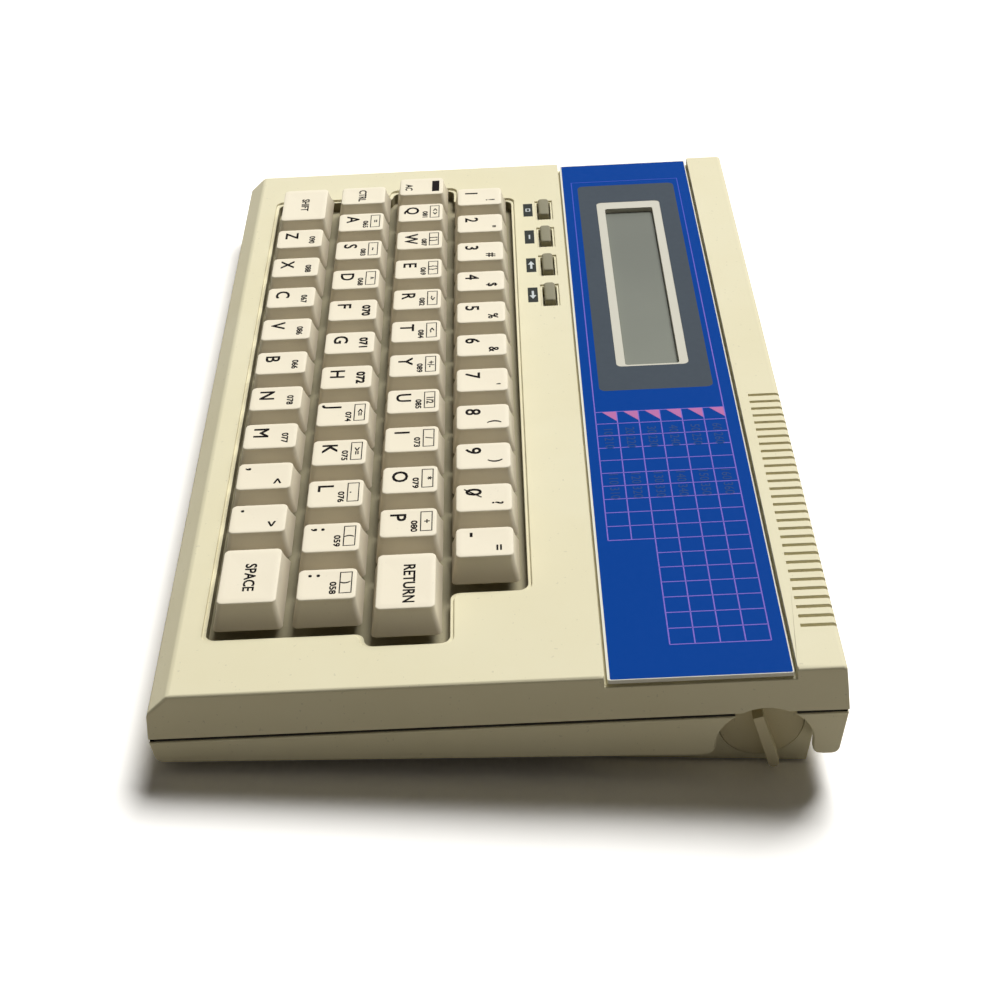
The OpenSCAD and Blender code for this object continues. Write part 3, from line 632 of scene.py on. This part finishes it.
def cap_mesh(node):
    """A hollow cap with its stem."""
    centre, width, depth, top_z = key_place(node)
    top_w, top_d = width - TOP_TRIM[0], depth - TOP_TRIM[1]
    inner, roof = 2 * CAP_WALL, top_z - CAP_WALL
    slope, chamfer = HOLLOW["slope"], SKIRT["chamfer"]
    foot_z, band_z, edge_z = SKIRT["foot"], SKIRT["foot"] + SKIRT["band"], top_z - CAP_EDGE
    rings = [ring(top_w - inner - slope, top_d - inner - slope, HOLLOW["corner"], roof),
             ring(top_w - inner, top_d - inner, HOLLOW["shoulder"], roof - HOLLOW["drop"]),
             ring(width - inner, depth - inner, HOLLOW["corner"], foot_z),
             ring(width - chamfer, depth - chamfer, FOOT_RADIUS, foot_z),
             ring(width, depth, FOOT_RADIUS, band_z)]
    for step in range(1, SKIRT["steps"] + 1):
        t = step / SKIRT["steps"]
        hollow = math.sin(math.pi * t) * SKIRT["hollow"]
        rings.append(ring(width + (top_w - width) * t - hollow, depth + (top_d - depth) * t - hollow,
                          FOOT_RADIUS + (TOP_RADIUS - FOOT_RADIUS) * t, band_z + (edge_z - band_z) * t))
    rings += top_edge(top_w, top_d, TOP_RADIUS, top_z, CAP_EDGE, EDGE_ANGLES, 0.5)
    flat_w, flat_d = top_w - 2 * CAP_EDGE, top_d - 2 * CAP_EDGE
    for share in DISH_SHARES:
        rings.append(ring(flat_w * share, flat_d * share, (TOP_RADIUS - CAP_EDGE) * share,
                          top_z - DISH * (1 - share ** 2)))
    shape = bmesh.new()
    at = Vector((centre.x, centre.y, 0))
    loft(shape, rings, at)
    loft(shape, [disc(STEM_RADIUS, z) for z in (STEM_END, roof + HOLLOW["drop"])], at)
    return smooth_by_angle(as_mesh(shape, node), 50)


for node in KEY_NODES:
    finish("cap_" + node[4:], cap_mesh(node), [key_plastic], node, [node])
print("key caps:", len(KEY_NODES))

# %% [markdown]
# ## Legends
#
# The legends are the ordinary ones of a typewriter keyboard. Each is a text turned into a mesh of thin
# ink, sunk a little into the cap so that it stands only a hair above it. The letter sits at the front
# left of a cap, a shifted sign at the rear right, and letter keys also carry a framed sign and a small
# code number: the number that stands for the letter in a computer's memory.

# %% Texts as meshes
INK_HEIGHT = 0.035
CAPITAL = 1.42
LIFT = 0.002


def letters(text, height, x, y, z, stretch, align="CENTER"):
    """A text as a mesh of the given capital height, centred at a place in the case's frame."""
    curve = bpy.data.curves.new("letters", "FONT")
    curve.body = text
    curve.align_x = align
    curve.align_y = "CENTER"
    curve.size = height * CAPITAL
    curve.resolution_u = 3
    curve.extrude = INK_HEIGHT
    holder = bpy.data.objects.new("letters", curve)
    mesh = bpy.data.meshes.new_from_object(holder)
    mesh.transform(Matrix.Translation((x, y, z)) @ Matrix.Diagonal((stretch, 1, 1, 1)))
    bpy.data.objects.remove(holder)
    bpy.data.curves.remove(curve)
    return mesh


def heavy(text, spot, x, y, z, align="CENTER"):
    """The same text four times, a little apart, so that its strokes get thicker."""
    weight = spot.weight
    steps = ((0, 0), (weight, 0), (0, weight), (weight, weight))
    return [letters(text, spot.height, x + spot.x + dx - weight / 2, y + spot.y + dy - weight / 2,
                    z + lift * LIFT, spot.wide, align) for lift, (dx, dy) in enumerate(steps)]


print("letters stand", INK_HEIGHT, "mm proud")

# %% Strokes and frames
def bar(shape, x0, x1, y0, y1, z, thick=INK_HEIGHT):
    """A thin flat block of ink."""
    block(shape, x0, x1, y0, y1, z - thick, z + thick)


def open_box(shape, x, y, width, depth, line, z):
    """A rectangle drawn in four strokes."""
    w, d = width / 2, depth / 2
    bar(shape, x - w, x + w, y - d, y - d + line, z)
    bar(shape, x - w, x + w, y + d - line, y + d, z)
    bar(shape, x - w, x - w + line, y - d + line, y + d - line, z)
    bar(shape, x + w - line, x + w, y - d + line, y + d - line, z)


print("strokes are", 2 * INK_HEIGHT, "mm thick, half of it sunk")

# %% Places of the legends
# A print's capital height, its place from the cap's middle, how much bolder and how much wider it is.
Print = namedtuple("Print", "height x y weight wide", defaults=(0.12, 1.0))
MAIN = Print(3.4, -3.5, -2.4, 0.15, 1.1)
SHIFTED = Print(2.4, 2.1, 2.8, wide=1.1)
CODE = Print(1.3, 1.3, 1.15, wide=1.5)
LONE_CODE = Print(1.45, 0.9, 3.2, wide=1.3)
BOLD_CODE = Print(1.9, 0.4, 3.2, 0.24, 1.3)
FRAMED = Print(1.6, -0.3, 3.8, 0.1, 1.1)
SIGN_BOX = (7.0, 2.6, 0.22)
CLEAR_BAR = (-3.2, 3.2, 2.9, 4.9)
ZERO_X = 1.75
ZERO_STROKE = ((-1.7, -1.8), (-1.35, -1.95), (1.7, 1.8), (1.35, 1.95))
WORD = {"space": Print(2.3, 0.5, -0.1), "return": Print(2.4, 0.9, 0.5), "shift": Print(2.0, 0, 0),
        "control": Print(2.0, 0, -0.4), "clear": Print(1.9, 0.3, -3.6)}
DIGIT_SHIFTS = dict(zip("1234567890", "!\"#$%&'()?"))
NAMED = {"minus": ("-", "="), "semicolon": (";", None), "colon": (":", None), "comma": (",", "<"),
         "period": (".", ">")}
WORDS = {"shift": "SHIFT", "control": "CTRL", "return": "RETURN", "space": "SPACE", "clear": "AC"}
SIGNS = {"q": "< >", "w": "[ ]", "e": "{ }", "r": "->", "t": "<-", "y": "+/-", "u": "1/2", "i": "/",
         "o": "*", "p": "+", "a": "=", "s": "~", "d": "^", "j": "<=", "k": ">=", "l": ".",
         "semicolon": "(", "colon": ")"}
print("framed signs:", len(SIGNS), "words:", len(WORDS))

# %% Legends on the caps
def legend_parts(short, shape, x, y, z):
    """Meshes and strokes of one cap's legend."""
    if short in WORDS:
        if short == "clear":
            x0, x1, y0, y1 = CLEAR_BAR
            bar(shape, x + x0, x + x1, y + y0, y + y1, z)
        return heavy(WORDS[short], WORD[short], x, y, z)
    main, shifted = NAMED.get(short, (short.upper(), DIGIT_SHIFTS.get(short)))
    parts = heavy(main, MAIN, x, y, z, "LEFT")
    if shifted:
        parts += heavy(shifted, SHIFTED, x, y, z)
    if short in SIGNS:
        open_box(shape, x + FRAMED.x, y + FRAMED.y, *SIGN_BOX, z)
        parts += heavy(SIGNS[short], FRAMED, x, y, z)
    if short == "0":
        at = Vector((x + MAIN.x + ZERO_X, y + MAIN.y))
        prism(shape, [at + Vector(p) for p in ZERO_STROKE], z - INK_HEIGHT, z + INK_HEIGHT)
    elif not short.isdigit() and short not in ("minus", "comma", "period"):
        code = CODE if short in SIGNS else BOLD_CODE if short in "fgh" else LONE_CODE
        parts += heavy(f"{ord(main):03d}", code, x, y, z)
    return parts


def gathered(name, parts, shape, weld=0.0005):
    """Joins text meshes and strokes into one mesh. A text's own walls are welded to its faces first."""
    for part in parts:
        text = bmesh.new()
        text.from_mesh(part)
        bmesh.ops.remove_doubles(text, verts=text.verts, dist=weld)
        text.to_mesh(part)
        text.free()
        shape.from_mesh(part)
        bpy.data.meshes.remove(part)
    return as_mesh(shape, name)


def sink_to_dish(mesh, centre, width, depth, top_z):
    """Lets a legend follow the dish of its cap."""
    for vert in mesh.vertices:
        share = max(abs(vert.co.x - centre.x) / (width / 2), abs(vert.co.y - centre.y) / (depth / 2))
        vert.co.z -= DISH * (1 - min(share, 1) ** 2)


for node in KEY_NODES:
    centre, width, depth, top_z = key_place(node)
    shape = bmesh.new()
    parts = legend_parts(node[4:], shape, centre.x, centre.y, top_z)
    mesh = gathered("legend", parts, shape)
    sink_to_dish(mesh, centre, width - TOP_TRIM[0], depth - TOP_TRIM[1], top_z)
    finish("legend_" + node[4:], mesh, [legend_ink], node)
print("legends:", len(KEY_NODES))

# %% [markdown]
# ## Function buttons and their labels
#
# Each of the four buttons is a small bar with round ends that stands in a pocket. The same loft makes it.
# In front of each lies a dark printed label: a square and a dash for the first two, and arrows for the
# two that move along the line of text.

# %% Function buttons
BUTTONS = ["button_mode", "button_insert", "button_left", "button_right"]
BUTTON = {"width": 2.8, "root": -1.4, "corner": 0.7, "crown": 0.5, "post": 1.3, "overlap": 0.3}
CROWN_ANGLES = (25, 50, 75, 90)


def button_mesh(node):
    """A rounded bar on a post."""
    low, high = case_box(node)
    centre = (low + high) / 2
    length, width, corner = high.x - low.x, BUTTON["width"], BUTTON["corner"]
    root, crown = BUTTON["root"], BUTTON["crown"]
    rings = [ring(length, width, corner, z) for z in (root, high.z - crown)]
    rings += top_edge(length, width, corner, high.z, crown, CROWN_ANGLES)
    shape = bmesh.new()
    at = Vector((centre.x, centre.y, 0))
    loft(shape, rings, at)
    loft(shape, [disc(BUTTON["post"], z) for z in (low.z, root + BUTTON["overlap"])], at)
    return smooth_by_angle(as_mesh(shape, node), 40), centre


def ring_plate(name, outer, inner, z0, z1, inner_low=None):
    """A flat plate between two outlines with as many points each. The hole may narrow towards its foot."""
    shape = bmesh.new()
    rows = []
    for points, z in ((outer, z0), (outer, z1), (inner, z1), (inner_low or inner, z0)):
        rows.append([shape.verts.new((p.x, p.y, z)) for p in points])
    for first, second in zip(rows, rows[1:] + rows[:1]):
        skin(shape, first, second)
    bmesh.ops.recalc_face_normals(shape, faces=shape.faces)
    return as_mesh(shape, name)


print("buttons are", BUTTON["width"], "mm wide")

# %% Buttons, pocket rings and labels
LABEL = {"y": -4.35, "x": -0.3, "length": 7.6, "width": 2.55, "z": 0.01, "sign_z": 0.025}
SQUARE = {"width": 1.8, "depth": 1.3, "line": 0.3}
DASH = (-1.2, 1.2, -0.2, 0.2)
ARROW = {"tail": 2.0, "neck": 0.4, "line": 0.28, "tip": 2.1, "head": 0.3, "wing": 0.85}
POCKET = {"outer": (11.16, 4.66), "inner": (10.3, 3.7), "corner": 0.3, "z0": -1.5, "z1": -0.45}


def arrow(shape, x, y, direction, z):
    """A stroke with a pointed head, along X."""
    ends = sorted((x - direction * ARROW["tail"], x + direction * ARROW["neck"]))
    bar(shape, *ends, y - ARROW["line"], y + ARROW["line"], z)
    head = x + direction * ARROW["head"]
    tip = [(x + direction * ARROW["tip"], y), (head, y + direction * ARROW["wing"]),
           (head, y - direction * ARROW["wing"])]
    prism(shape, tip, z - INK_HEIGHT, z + INK_HEIGHT)


labels = bmesh.new()
signs = bmesh.new()
for index, node in enumerate(BUTTONS):
    mesh, centre = button_mesh(node)
    finish("bar_" + node[7:], mesh, [button_plastic], node, [node])
    at = Vector((centre.x, centre.y, 0))
    outer, inner = ([Vector(p) + at for p in ring(*POCKET[side], POCKET["corner"], 0)]
                    for side in ("outer", "inner"))
    finish("pocket_" + node[7:], ring_plate("pocket", outer, inner, POCKET["z0"], POCKET["z1"]),
           [case_plastic])
    x, y = centre.x + LABEL["x"], centre.y + LABEL["y"]
    bar(labels, x - LABEL["length"] / 2, x + LABEL["length"] / 2, y - LABEL["width"] / 2,
        y + LABEL["width"] / 2, LABEL["z"])
    if index == 0:
        open_box(signs, x, y, SQUARE["width"], SQUARE["depth"], SQUARE["line"], LABEL["sign_z"])
    elif index == 1:
        bar(signs, x + DASH[0], x + DASH[1], y + DASH[2], y + DASH[3], LABEL["sign_z"])
    else:
        arrow(signs, x, y, -1 if index == 2 else 1, LABEL["sign_z"])
finish("button_labels", as_mesh(labels, "labels"), [label_ink])
finish("button_signs", as_mesh(signs, "signs"), [white_ink])
print("function buttons:", len(BUTTONS))

# %% [markdown]
# ## The display panel
#
# The panel is a plate with pale edges, printed in blue with a slate field round the window. The pale colour
# is a painted highlight: the plate is clear, and its edges catch the light. The plate here is one ring round
# the window's hole, and the prints lie on it as thin films. They stop a little short of the plate's outline,
# which leaves a fine pale line of that painted highlight. In the hole stand the moulded frame and the
# display.

# %% Plate and prints
PANEL_LOW, PANEL_HIGH = case_box("display_panel")
PLATE_Z = PANEL_HIGH.z
FILM = 0.015
Box = namedtuple("Box", "x0 x1 y0 y1 r")
WINDOW = Box(-89.65, -1.6, 30.75, 48.25, 1.4)
SLATE = Box(-100.3, 9.2, 26.0, 53.0, 1.6)
BLUE = Box(PANEL_LOW.x + 0.4, PANEL_HIGH.x - 0.2, PANEL_LOW.y + 0.5, PANEL_HIGH.y - 0.25, 0.4)
PLATE_CORNER = 0.5


def box_of(low, high, radius):
    """A box with round corners between two corner points."""
    return Box(low.x, high.x, low.y, high.y, radius)


def grown(box, by, radius):
    """The box with a margin added on each side, and its new corner radius."""
    return Box(box.x0 - by, box.x1 + by, box.y0 - by, box.y1 + by, radius)


def outline(box):
    """Points along the edge of a box with round corners."""
    centre = Vector(((box.x0 + box.x1) / 2, (box.y0 + box.y1) / 2, 0))
    return [Vector(p) + centre for p in ring(box.x1 - box.x0, box.y1 - box.y0, box.r, 0)]


plate = outline(box_of(PANEL_LOW, PANEL_HIGH, PLATE_CORNER))
# The plate's pale colour is a painted highlight for its clear edges.
finish("panel_plate", ring_plate("panel_plate", plate, outline(WINDOW), PANEL_LOW.z, PLATE_Z - FILM),
       [plate_edge], replaced=["display_panel"])
for name, outer, inner, film in (("print_blue", BLUE, SLATE, blue_ink),
                                 ("print_slate", SLATE, WINDOW, slate_ink)):
    mesh = ring_plate(name, outline(outer), outline(inner), PLATE_Z - 2 * FILM, PLATE_Z)
    finish(name, mesh, [film])
print("panel:", [round(v, 1) for v in (*PANEL_LOW, *PANEL_HIGH)])

# %% [markdown]
# ## The printed grid
#
# To the right of the window the panel carries a grid of thin mauve lines. It is the kind of thing that
# Geometry Nodes do well: a line of points, one thin bar on each, and two numbers for how many and how far
# apart. The same tree makes the lines across, the lines along and the ribs on the battery door.

# %% A tree that repeats a bar
INPUTS = {"Count": "NodeSocketInt", "Start": "NodeSocketVector", "Step": "NodeSocketVector",
          "Size": "NodeSocketVector"}


def row_tree(name, material):
    """A node tree that puts a bar on each point of a line, and the identifiers of its inputs."""
    tree = bpy.data.node_groups.new(name, "GeometryNodeTree")
    tree.interface.new_socket("Geometry", in_out="OUTPUT", socket_type="NodeSocketGeometry")
    ids = {label: tree.interface.new_socket(label, in_out="INPUT", socket_type=kind).identifier
           for label, kind in INPUTS.items()}
    kinds = {"given": "NodeGroupInput", "row": "GeometryNodeMeshLine", "bar": "GeometryNodeMeshCube",
             "copies": "GeometryNodeInstanceOnPoints", "real": "GeometryNodeRealizeInstances",
             "paint": "GeometryNodeSetMaterial", "out": "NodeGroupOutput"}
    nodes = {label: tree.nodes.new(kind) for label, kind in kinds.items()}
    nodes["row"].mode = "OFFSET"
    nodes["paint"].inputs["Material"].default_value = material
    for source, output, target, entry in (
            ("given", "Count", "row", "Count"), ("given", "Start", "row", "Start Location"),
            ("given", "Step", "row", "Offset"), ("given", "Size", "bar", "Size"),
            ("row", "Mesh", "copies", "Points"), ("bar", "Mesh", "copies", "Instance"),
            ("copies", "Instances", "real", "Geometry"), ("real", "Geometry", "paint", "Geometry"),
            ("paint", "Geometry", "out", "Geometry")):
        tree.links.new(nodes[source].outputs[output], nodes[target].inputs[entry])
    return tree, ids


def bar_row(name, count, start, step, size, material):
    """Bars of one size in a row, made with Geometry Nodes and turned into a plain mesh."""
    tree, ids = row_tree(name, material)
    holder = placed(name, bpy.data.meshes.new(name))
    modifier = holder.modifiers.new("row", "NODES")
    modifier.node_group = tree
    for label, value in zip(INPUTS, (count, start, step, size)):
        modifier[ids[label]] = value
    bpy.context.view_layer.update()
    seen = holder.evaluated_get(bpy.context.evaluated_depsgraph_get())
    mesh = bpy.data.meshes.new_from_object(seen)
    mesh.name = name
    holder.modifiers.remove(modifier)
    bpy.data.objects.remove(holder)
    mesh.materials.clear()
    print(name, "bars:", count)
    return mesh


# %% Lines of the grid
GRID = {"x0": 18.46, "pitch_x": 5.04, "rows": 17, "y0": 24.4, "pitch_y": 4.99, "columns": 6, "line": 0.25}
CUT_ROW = 10
CUT_COLUMNS = 2
STRIP_GAP = 2.7


def grid_x(rows):
    """Where the grid is after a number of rows."""
    return GRID["x0"] + GRID["pitch_x"] * rows


def grid_y(columns):
    """Where the grid is after a number of columns."""
    return GRID["y0"] + GRID["pitch_y"] * columns


grid_x1, grid_y1 = grid_x(GRID["rows"]), grid_y(GRID["columns"])
cut_x, cut_y = grid_x(CUT_ROW), grid_y(CUT_COLUMNS)


def line_rows():
    """The grid in four rows of lines: two full ones and two that stop at the bare corner."""
    x0, y0, line = GRID["x0"], GRID["y0"], GRID["line"]
    right, back = (GRID["pitch_x"], 0, 0), (0, GRID["pitch_y"], 0)
    whole, short = grid_y1 - y0, grid_y1 - cut_y
    full, stub = grid_x1 - x0, cut_x - x0
    rows = (("across", CUT_ROW + 1, (x0, y0 + whole / 2), right, (line, whole)),
            ("across_late", GRID["rows"] - CUT_ROW, (cut_x + right[0], cut_y + short / 2), right,
             (line, short)),
            ("along", GRID["columns"] + 1 - CUT_COLUMNS, (x0 + full / 2, cut_y), back, (full, line)),
            ("along_front", CUT_COLUMNS, (x0 + stub / 2, y0), back, (stub, line)))
    return [bar_row(name, count, (*start, PLATE_Z), step, (*size, 2 * FILM), mauve_ink)
            for name, count, start, step, size in rows]


def outline_strip():
    """The line that runs round the slate field from the grid's rear and front edges."""
    shape = bmesh.new()
    line = GRID["line"]
    x0 = SLATE.x0 - STRIP_GAP
    for y in (GRID["y0"], grid_y1):
        bar(shape, x0, GRID["x0"], y - line / 2, y + line / 2, PLATE_Z, FILM)
    bar(shape, x0, x0 + line, GRID["y0"] + line / 2, grid_y1 - line / 2, PLATE_Z, FILM)
    return shape


finish("print_grid", gathered("grid", line_rows(), outline_strip()), [mauve_ink])
print("grid lines:", GRID["rows"] + GRID["columns"] + 2)

# %% Triangles and numbers of the grid
TRIANGLE = {"gap": 0.1, "depth": 0.66, "length": 0.8, "proud": 1.2}
NUMBERS = {"height": 2.1, "wide": 1.05, "groups": ((10, 2.2), (110, 6.0)), "second": 200}
triangles = bmesh.new()
for column in range(GRID["columns"]):
    y1 = grid_y(column + 1) - TRIANGLE["gap"]
    tips = [(GRID["x0"], y1), (GRID["x0"], y1 - TRIANGLE["depth"] * GRID["pitch_y"]),
            (GRID["x0"] + TRIANGLE["length"] * GRID["pitch_x"], y1)]
    prism(triangles, tips, PLATE_Z - FILM, PLATE_Z + FILM * TRIANGLE["proud"])
finish("print_triangles", as_mesh(triangles, "triangles"), [pink_ink])

numbers = []
for column in range(GRID["columns"]):
    for group, rows in NUMBERS["groups"]:
        first = group + 10 * column
        numbers.append(letters(f"{first} {first + NUMBERS['second']}", NUMBERS["height"], grid_x(rows),
                               grid_y(column + 0.5), PLATE_Z, NUMBERS["wide"]))
finish("print_numbers", gathered("numbers", numbers, bmesh.new()), [faint_ink])
print("triangles:", GRID["columns"], "numbers:", 2 * len(numbers))

# %% [markdown]
# ## Inside the window
#
# In the hole stands an off-white frame, almost level with the panel, and broad at the left end. Its hole
# falls straight to the display. The display's face stands inside it with a hair's gap, on a wider sheet of
# glass with its board behind. Making the face, the glass and the board three plain slabs is enough: only
# the face is seen through the hole.

# %% Window frame and display
LCD_LOW, LCD_HIGH = case_box("lcd_module")
FRAME = {"top": PLATE_Z - 0.06, "foot": LCD_HIGH.z - 0.6, "play": 0.04}
MOUTH = Box(-85.75, -2.3, 32.95, 46.05, 0.7)
FIELD = Box(-85.65, -3.07, 33.0, 46.0, 0.7)
FACE = {"top": LCD_HIGH.z + 0.4, "foot": -4.5, "play": 0.03, "corner": 0.5}
GLASS = {"top": -4.4, "bottom": -6.0, "lap": 3.6}
SLAB_CORNER = 0.4
SLAB_EDGE = 0.15


def slab(name, box, z0, z1):
    """A flat block with rounded corners and a fine chamfer."""
    edge = min(SLAB_EDGE, (z1 - z0) / 3)
    width, depth = box.x1 - box.x0, box.y1 - box.y0
    rings = [ring(width - 2 * trim, depth - 2 * trim, box.r, z) for trim, z in
             ((edge, z0), (0, z0 + edge), (0, z1 - edge), (edge, z1))]
    shape = bmesh.new()
    loft(shape, rings, Vector(((box.x0 + box.x1) / 2, (box.y0 + box.y1) / 2, 0)))
    return smooth_by_angle(as_mesh(shape, name))


rim = outline(grown(WINDOW, -FRAME["play"], WINDOW.r))
bezel = ring_plate("window_frame", rim, outline(MOUTH), FRAME["foot"], FRAME["top"], outline(FIELD))
finish("window_frame", bezel, [frame_plastic])
finish("lcd_face", slab("lcd_face", grown(FIELD, -FACE["play"], FACE["corner"]), FACE["foot"], FACE["top"]),
       [lcd_glass], replaced=["lcd_module"])
finish("lcd_glass", slab("lcd_glass", grown(FIELD, GLASS["lap"], SLAB_CORNER), GLASS["bottom"], GLASS["top"]),
       [glass_edge])
finish("lcd_board", slab("lcd_board", box_of(LCD_LOW, LCD_HIGH, SLAB_CORNER), LCD_LOW.z, GLASS["bottom"]),
       [board_plastic])
print("display field:", FIELD)

# %% [markdown]
# ## Knob, door, screws, feet and the inner pieces
#
# The small pieces keep their solids' shapes and get soft edges. The main board stays sharp, and the faces
# that belong to its chips get a black plastic of their own. The door also gets a row of fine ribs for the
# thumb that slides it off. Under each key the rubber mat has a dome that gives way; each dome is a piece of
# its own with its own mesh, while the sheet between the domes is one piece.

# %% Small pieces from their solids
SMALL = [("contrast_knob", 0.22, knob_plastic, "contrast_knob", "knob"),
         ("battery_door", 0.2, case_plastic, "battery_door", "case"),
         ("case_screws", 0.06, screw_zinc, "case", "screws"),
         ("rubber_feet", 0.25, feet_rubber, "case", "feet")]
for node, radius, material, body, slot in SMALL:
    finish(node + "_piece", softened(node, [(radius, lambda edge: True)], 2), [material], body, [node])

# %% Rubber mat with its domes
MAT_LOW, MAT_HIGH = case_box("dome_mat")
MAT_THICK = 0.8
DOME = {"foot": 3.6, "top": 2.6, "round": 0.25, "sunk": 0.1}
mat_top = MAT_LOW.z + MAT_THICK
finish("dome_mat_sheet", slab("dome_mat_sheet", box_of(MAT_LOW, MAT_HIGH, SLAB_CORNER), MAT_LOW.z, mat_top),
       [mat_rubber], "case", ["dome_mat"])
for node in KEY_NODES + BUTTONS:
    low, high = case_box(node)
    at = Vector(((low.x + high.x) / 2, (low.y + high.y) / 2, 0))
    shape = bmesh.new()
    loft(shape, [disc(radius, z) for radius, z in
                 ((DOME["foot"], mat_top - DOME["sunk"]), (DOME["foot"], mat_top),
                  (DOME["top"], MAT_HIGH.z - DOME["round"]), (DOME["top"] - DOME["round"], MAT_HIGH.z))], at)
    mesh = smooth_by_angle(as_mesh(shape, "dome"), 50)
    dome = finish("dome_" + node.split("_")[1], mesh, [mat_rubber], "case")
    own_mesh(dome)
print("domes:", len(KEY_NODES) + len(BUTTONS), "mat top at", round(mat_top, 2))

# %% Main board
CHIP = {"height": 1.4, "margin": 0.05}
board = softened("main_board", [])
chip_top = min(v.co.z for v in board.vertices) + CHIP["height"] - CHIP["margin"]
for face in board.polygons:
    face.material_index = 1 if face.center.z < chip_top else 0
finish("main_board_piece", board, [board_plastic, chip_plastic], "case", ["main_board"])

# %% Ribs on the battery door
door_low, door_high = (Vector(corner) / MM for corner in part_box("battery_door"))
RIB = {"count": 6, "step": 1.8, "length": 44.0, "width": 0.8, "height": 0.4, "proud": 0.15, "inset": 14.0}
rib_z = door_low.z - RIB["proud"] + RIB["height"] / 2
ribs = bar_row("ribs", RIB["count"], ((door_low.x + door_high.x) / 2, door_high.y - RIB["inset"], rib_z),
               (0, RIB["step"], 0), (RIB["length"], RIB["width"], RIB["height"]), case_plastic)
ribs.transform(Matrix.Scale(MM, 4))
finish("battery_door_ribs", ribs, [case_plastic], "battery_door", in_case=False)
print("battery door in mm:", [round(v, 1) for v in (*door_low, *door_high)])

# %% [markdown]
# ## Camera, light and floor
#
# The camera looks from the right end, a little over a third of a right angle above the top face and
# rolled slightly. It is set in the case's frame, so the tilt is taken along. The light is one wide soft
# panel above the far end and a faint world. The floor looks pale to the camera but gives little light
# back, so that the sides of the case keep their shade.

# %% Camera
VIEW = {"turn": 90.9252, "height": 35.0644, "roll": 3.1585, "distance": 411.86}
TARGET = Vector((61.333, 1.91, 5.6))
FOCAL_SHARE = 1.9339
SENSOR = 36.0
NEAREST = 0.01
turn, height = math.radians(VIEW["turn"]), math.radians(VIEW["height"])
look = Vector((-math.sin(turn) * math.cos(height), math.cos(turn) * math.cos(height), -math.sin(height)))
right = look.cross(Vector((0, 0, 1))).normalized()
down = look.cross(right)
roll = math.radians(VIEW["roll"])
rolled_right = math.cos(roll) * right + math.sin(roll) * down
rolled_down = math.cos(roll) * down - math.sin(roll) * right
axes = Matrix((rolled_right, -rolled_down, -look)).transposed().to_4x4()
lens = bpy.data.cameras.new("camera")
lens.sensor_width = SENSOR
lens.lens = SENSOR * FOCAL_SHARE
lens.clip_start = NEAREST
camera = placed("camera", lens)
spot = (TARGET - look * VIEW["distance"]) * MM
camera.matrix_world = TURN @ Matrix.Translation(ORIGIN + spot) @ axes
bpy.context.scene.camera = camera
print("camera at", [round(v, 3) for v in camera.matrix_world.translation])

# %% Sky and lamp
AMBIENT = (0.05, 0.046, 0.04, 1)
LAMP = {"place": Vector((-2.6, 1.2, 4.4)), "size": 2.6, "watts": 355}
scene = bpy.context.scene
scene.view_settings.view_transform = "Standard"


def eye_rays(tree):
    """1 for rays that show a thing, straight, mirrored or through glass, and 0 for rays that light it."""
    rays = tree.nodes.new("ShaderNodeLightPath")
    total = rays.outputs["Is Camera Ray"]
    for name in ("Is Glossy Ray", "Is Transmission Ray"):
        both = tree.nodes.new("ShaderNodeMath")
        tree.links.new(total, both.inputs[0])
        tree.links.new(rays.outputs[name], both.inputs[1])
        total = both.outputs[0]
    return total


world = bpy.data.worlds.new("world")
scene.world = world
world.use_nodes = True
sky = world.node_tree
shade = sky.nodes.new("ShaderNodeMix")
shade.data_type = "RGBA"
shade.inputs[6].default_value = AMBIENT
shade.inputs[7].default_value = (1, 1, 1, 1)
sky.links.new(eye_rays(sky), shade.inputs[0])
sky.links.new(shade.outputs[2], sky.nodes["Background"].inputs["Color"])
sky.nodes["Background"].inputs["Strength"].default_value = 1.0

light = bpy.data.lights.new("overhead", "AREA")
light.shape = "RECTANGLE"
light.size = light.size_y = LAMP["size"]
light.energy = LAMP["watts"]
overhead = placed("overhead", light)
overhead.location = LAMP["place"]
overhead.rotation_euler = (-LAMP["place"]).to_track_quat("-Z", "Y").to_euler()
print("lamp:", light.energy, "watts")

# %% Floor
FLOOR = {"half": 3.0, "near": 0.35, "far": 0.9, "roughness": 0.9, "gloss": 0.1}
FLOOR_LIT = (0.5, 0.47, 0.42, 1)
FLOOR_SEEN = (1.3, 1.28, 1.24, 1)
ground = bmesh.new()
bmesh.ops.create_grid(ground, x_segments=1, y_segments=1, size=FLOOR["half"])
ground_mesh = as_mesh(ground, "floor")
floor = placed("floor", ground_mesh)
pale = Recipe("floor")
seen = Wire(pale, eye_rays(pale.tree))
pale.set(Base_Color=pale.mix(seen, FLOOR_LIT, FLOOR_SEEN), Roughness=FLOOR["roughness"],
         Specular_IOR_Level=FLOOR["gloss"])
distance = pale.add("ShaderNodeVectorMath", {"operation": "LENGTH"}, {"Vector": pale.place()}, output=1)
white = pale.add("ShaderNodeEmission")
lit = Wire(pale, pale.shader.outputs[0])
far = distance.clipped(FLOOR["near"], FLOOR["far"]) * seen
backdrop = pale.add("ShaderNodeMixShader", inputs={0: far, 1: lit, 2: white})
pale.tree.links.new(backdrop.socket, pale.out.inputs["Surface"])
ground_mesh.materials.append(pale.material)
print("floor is", 2 * FLOOR["half"], "metres wide")
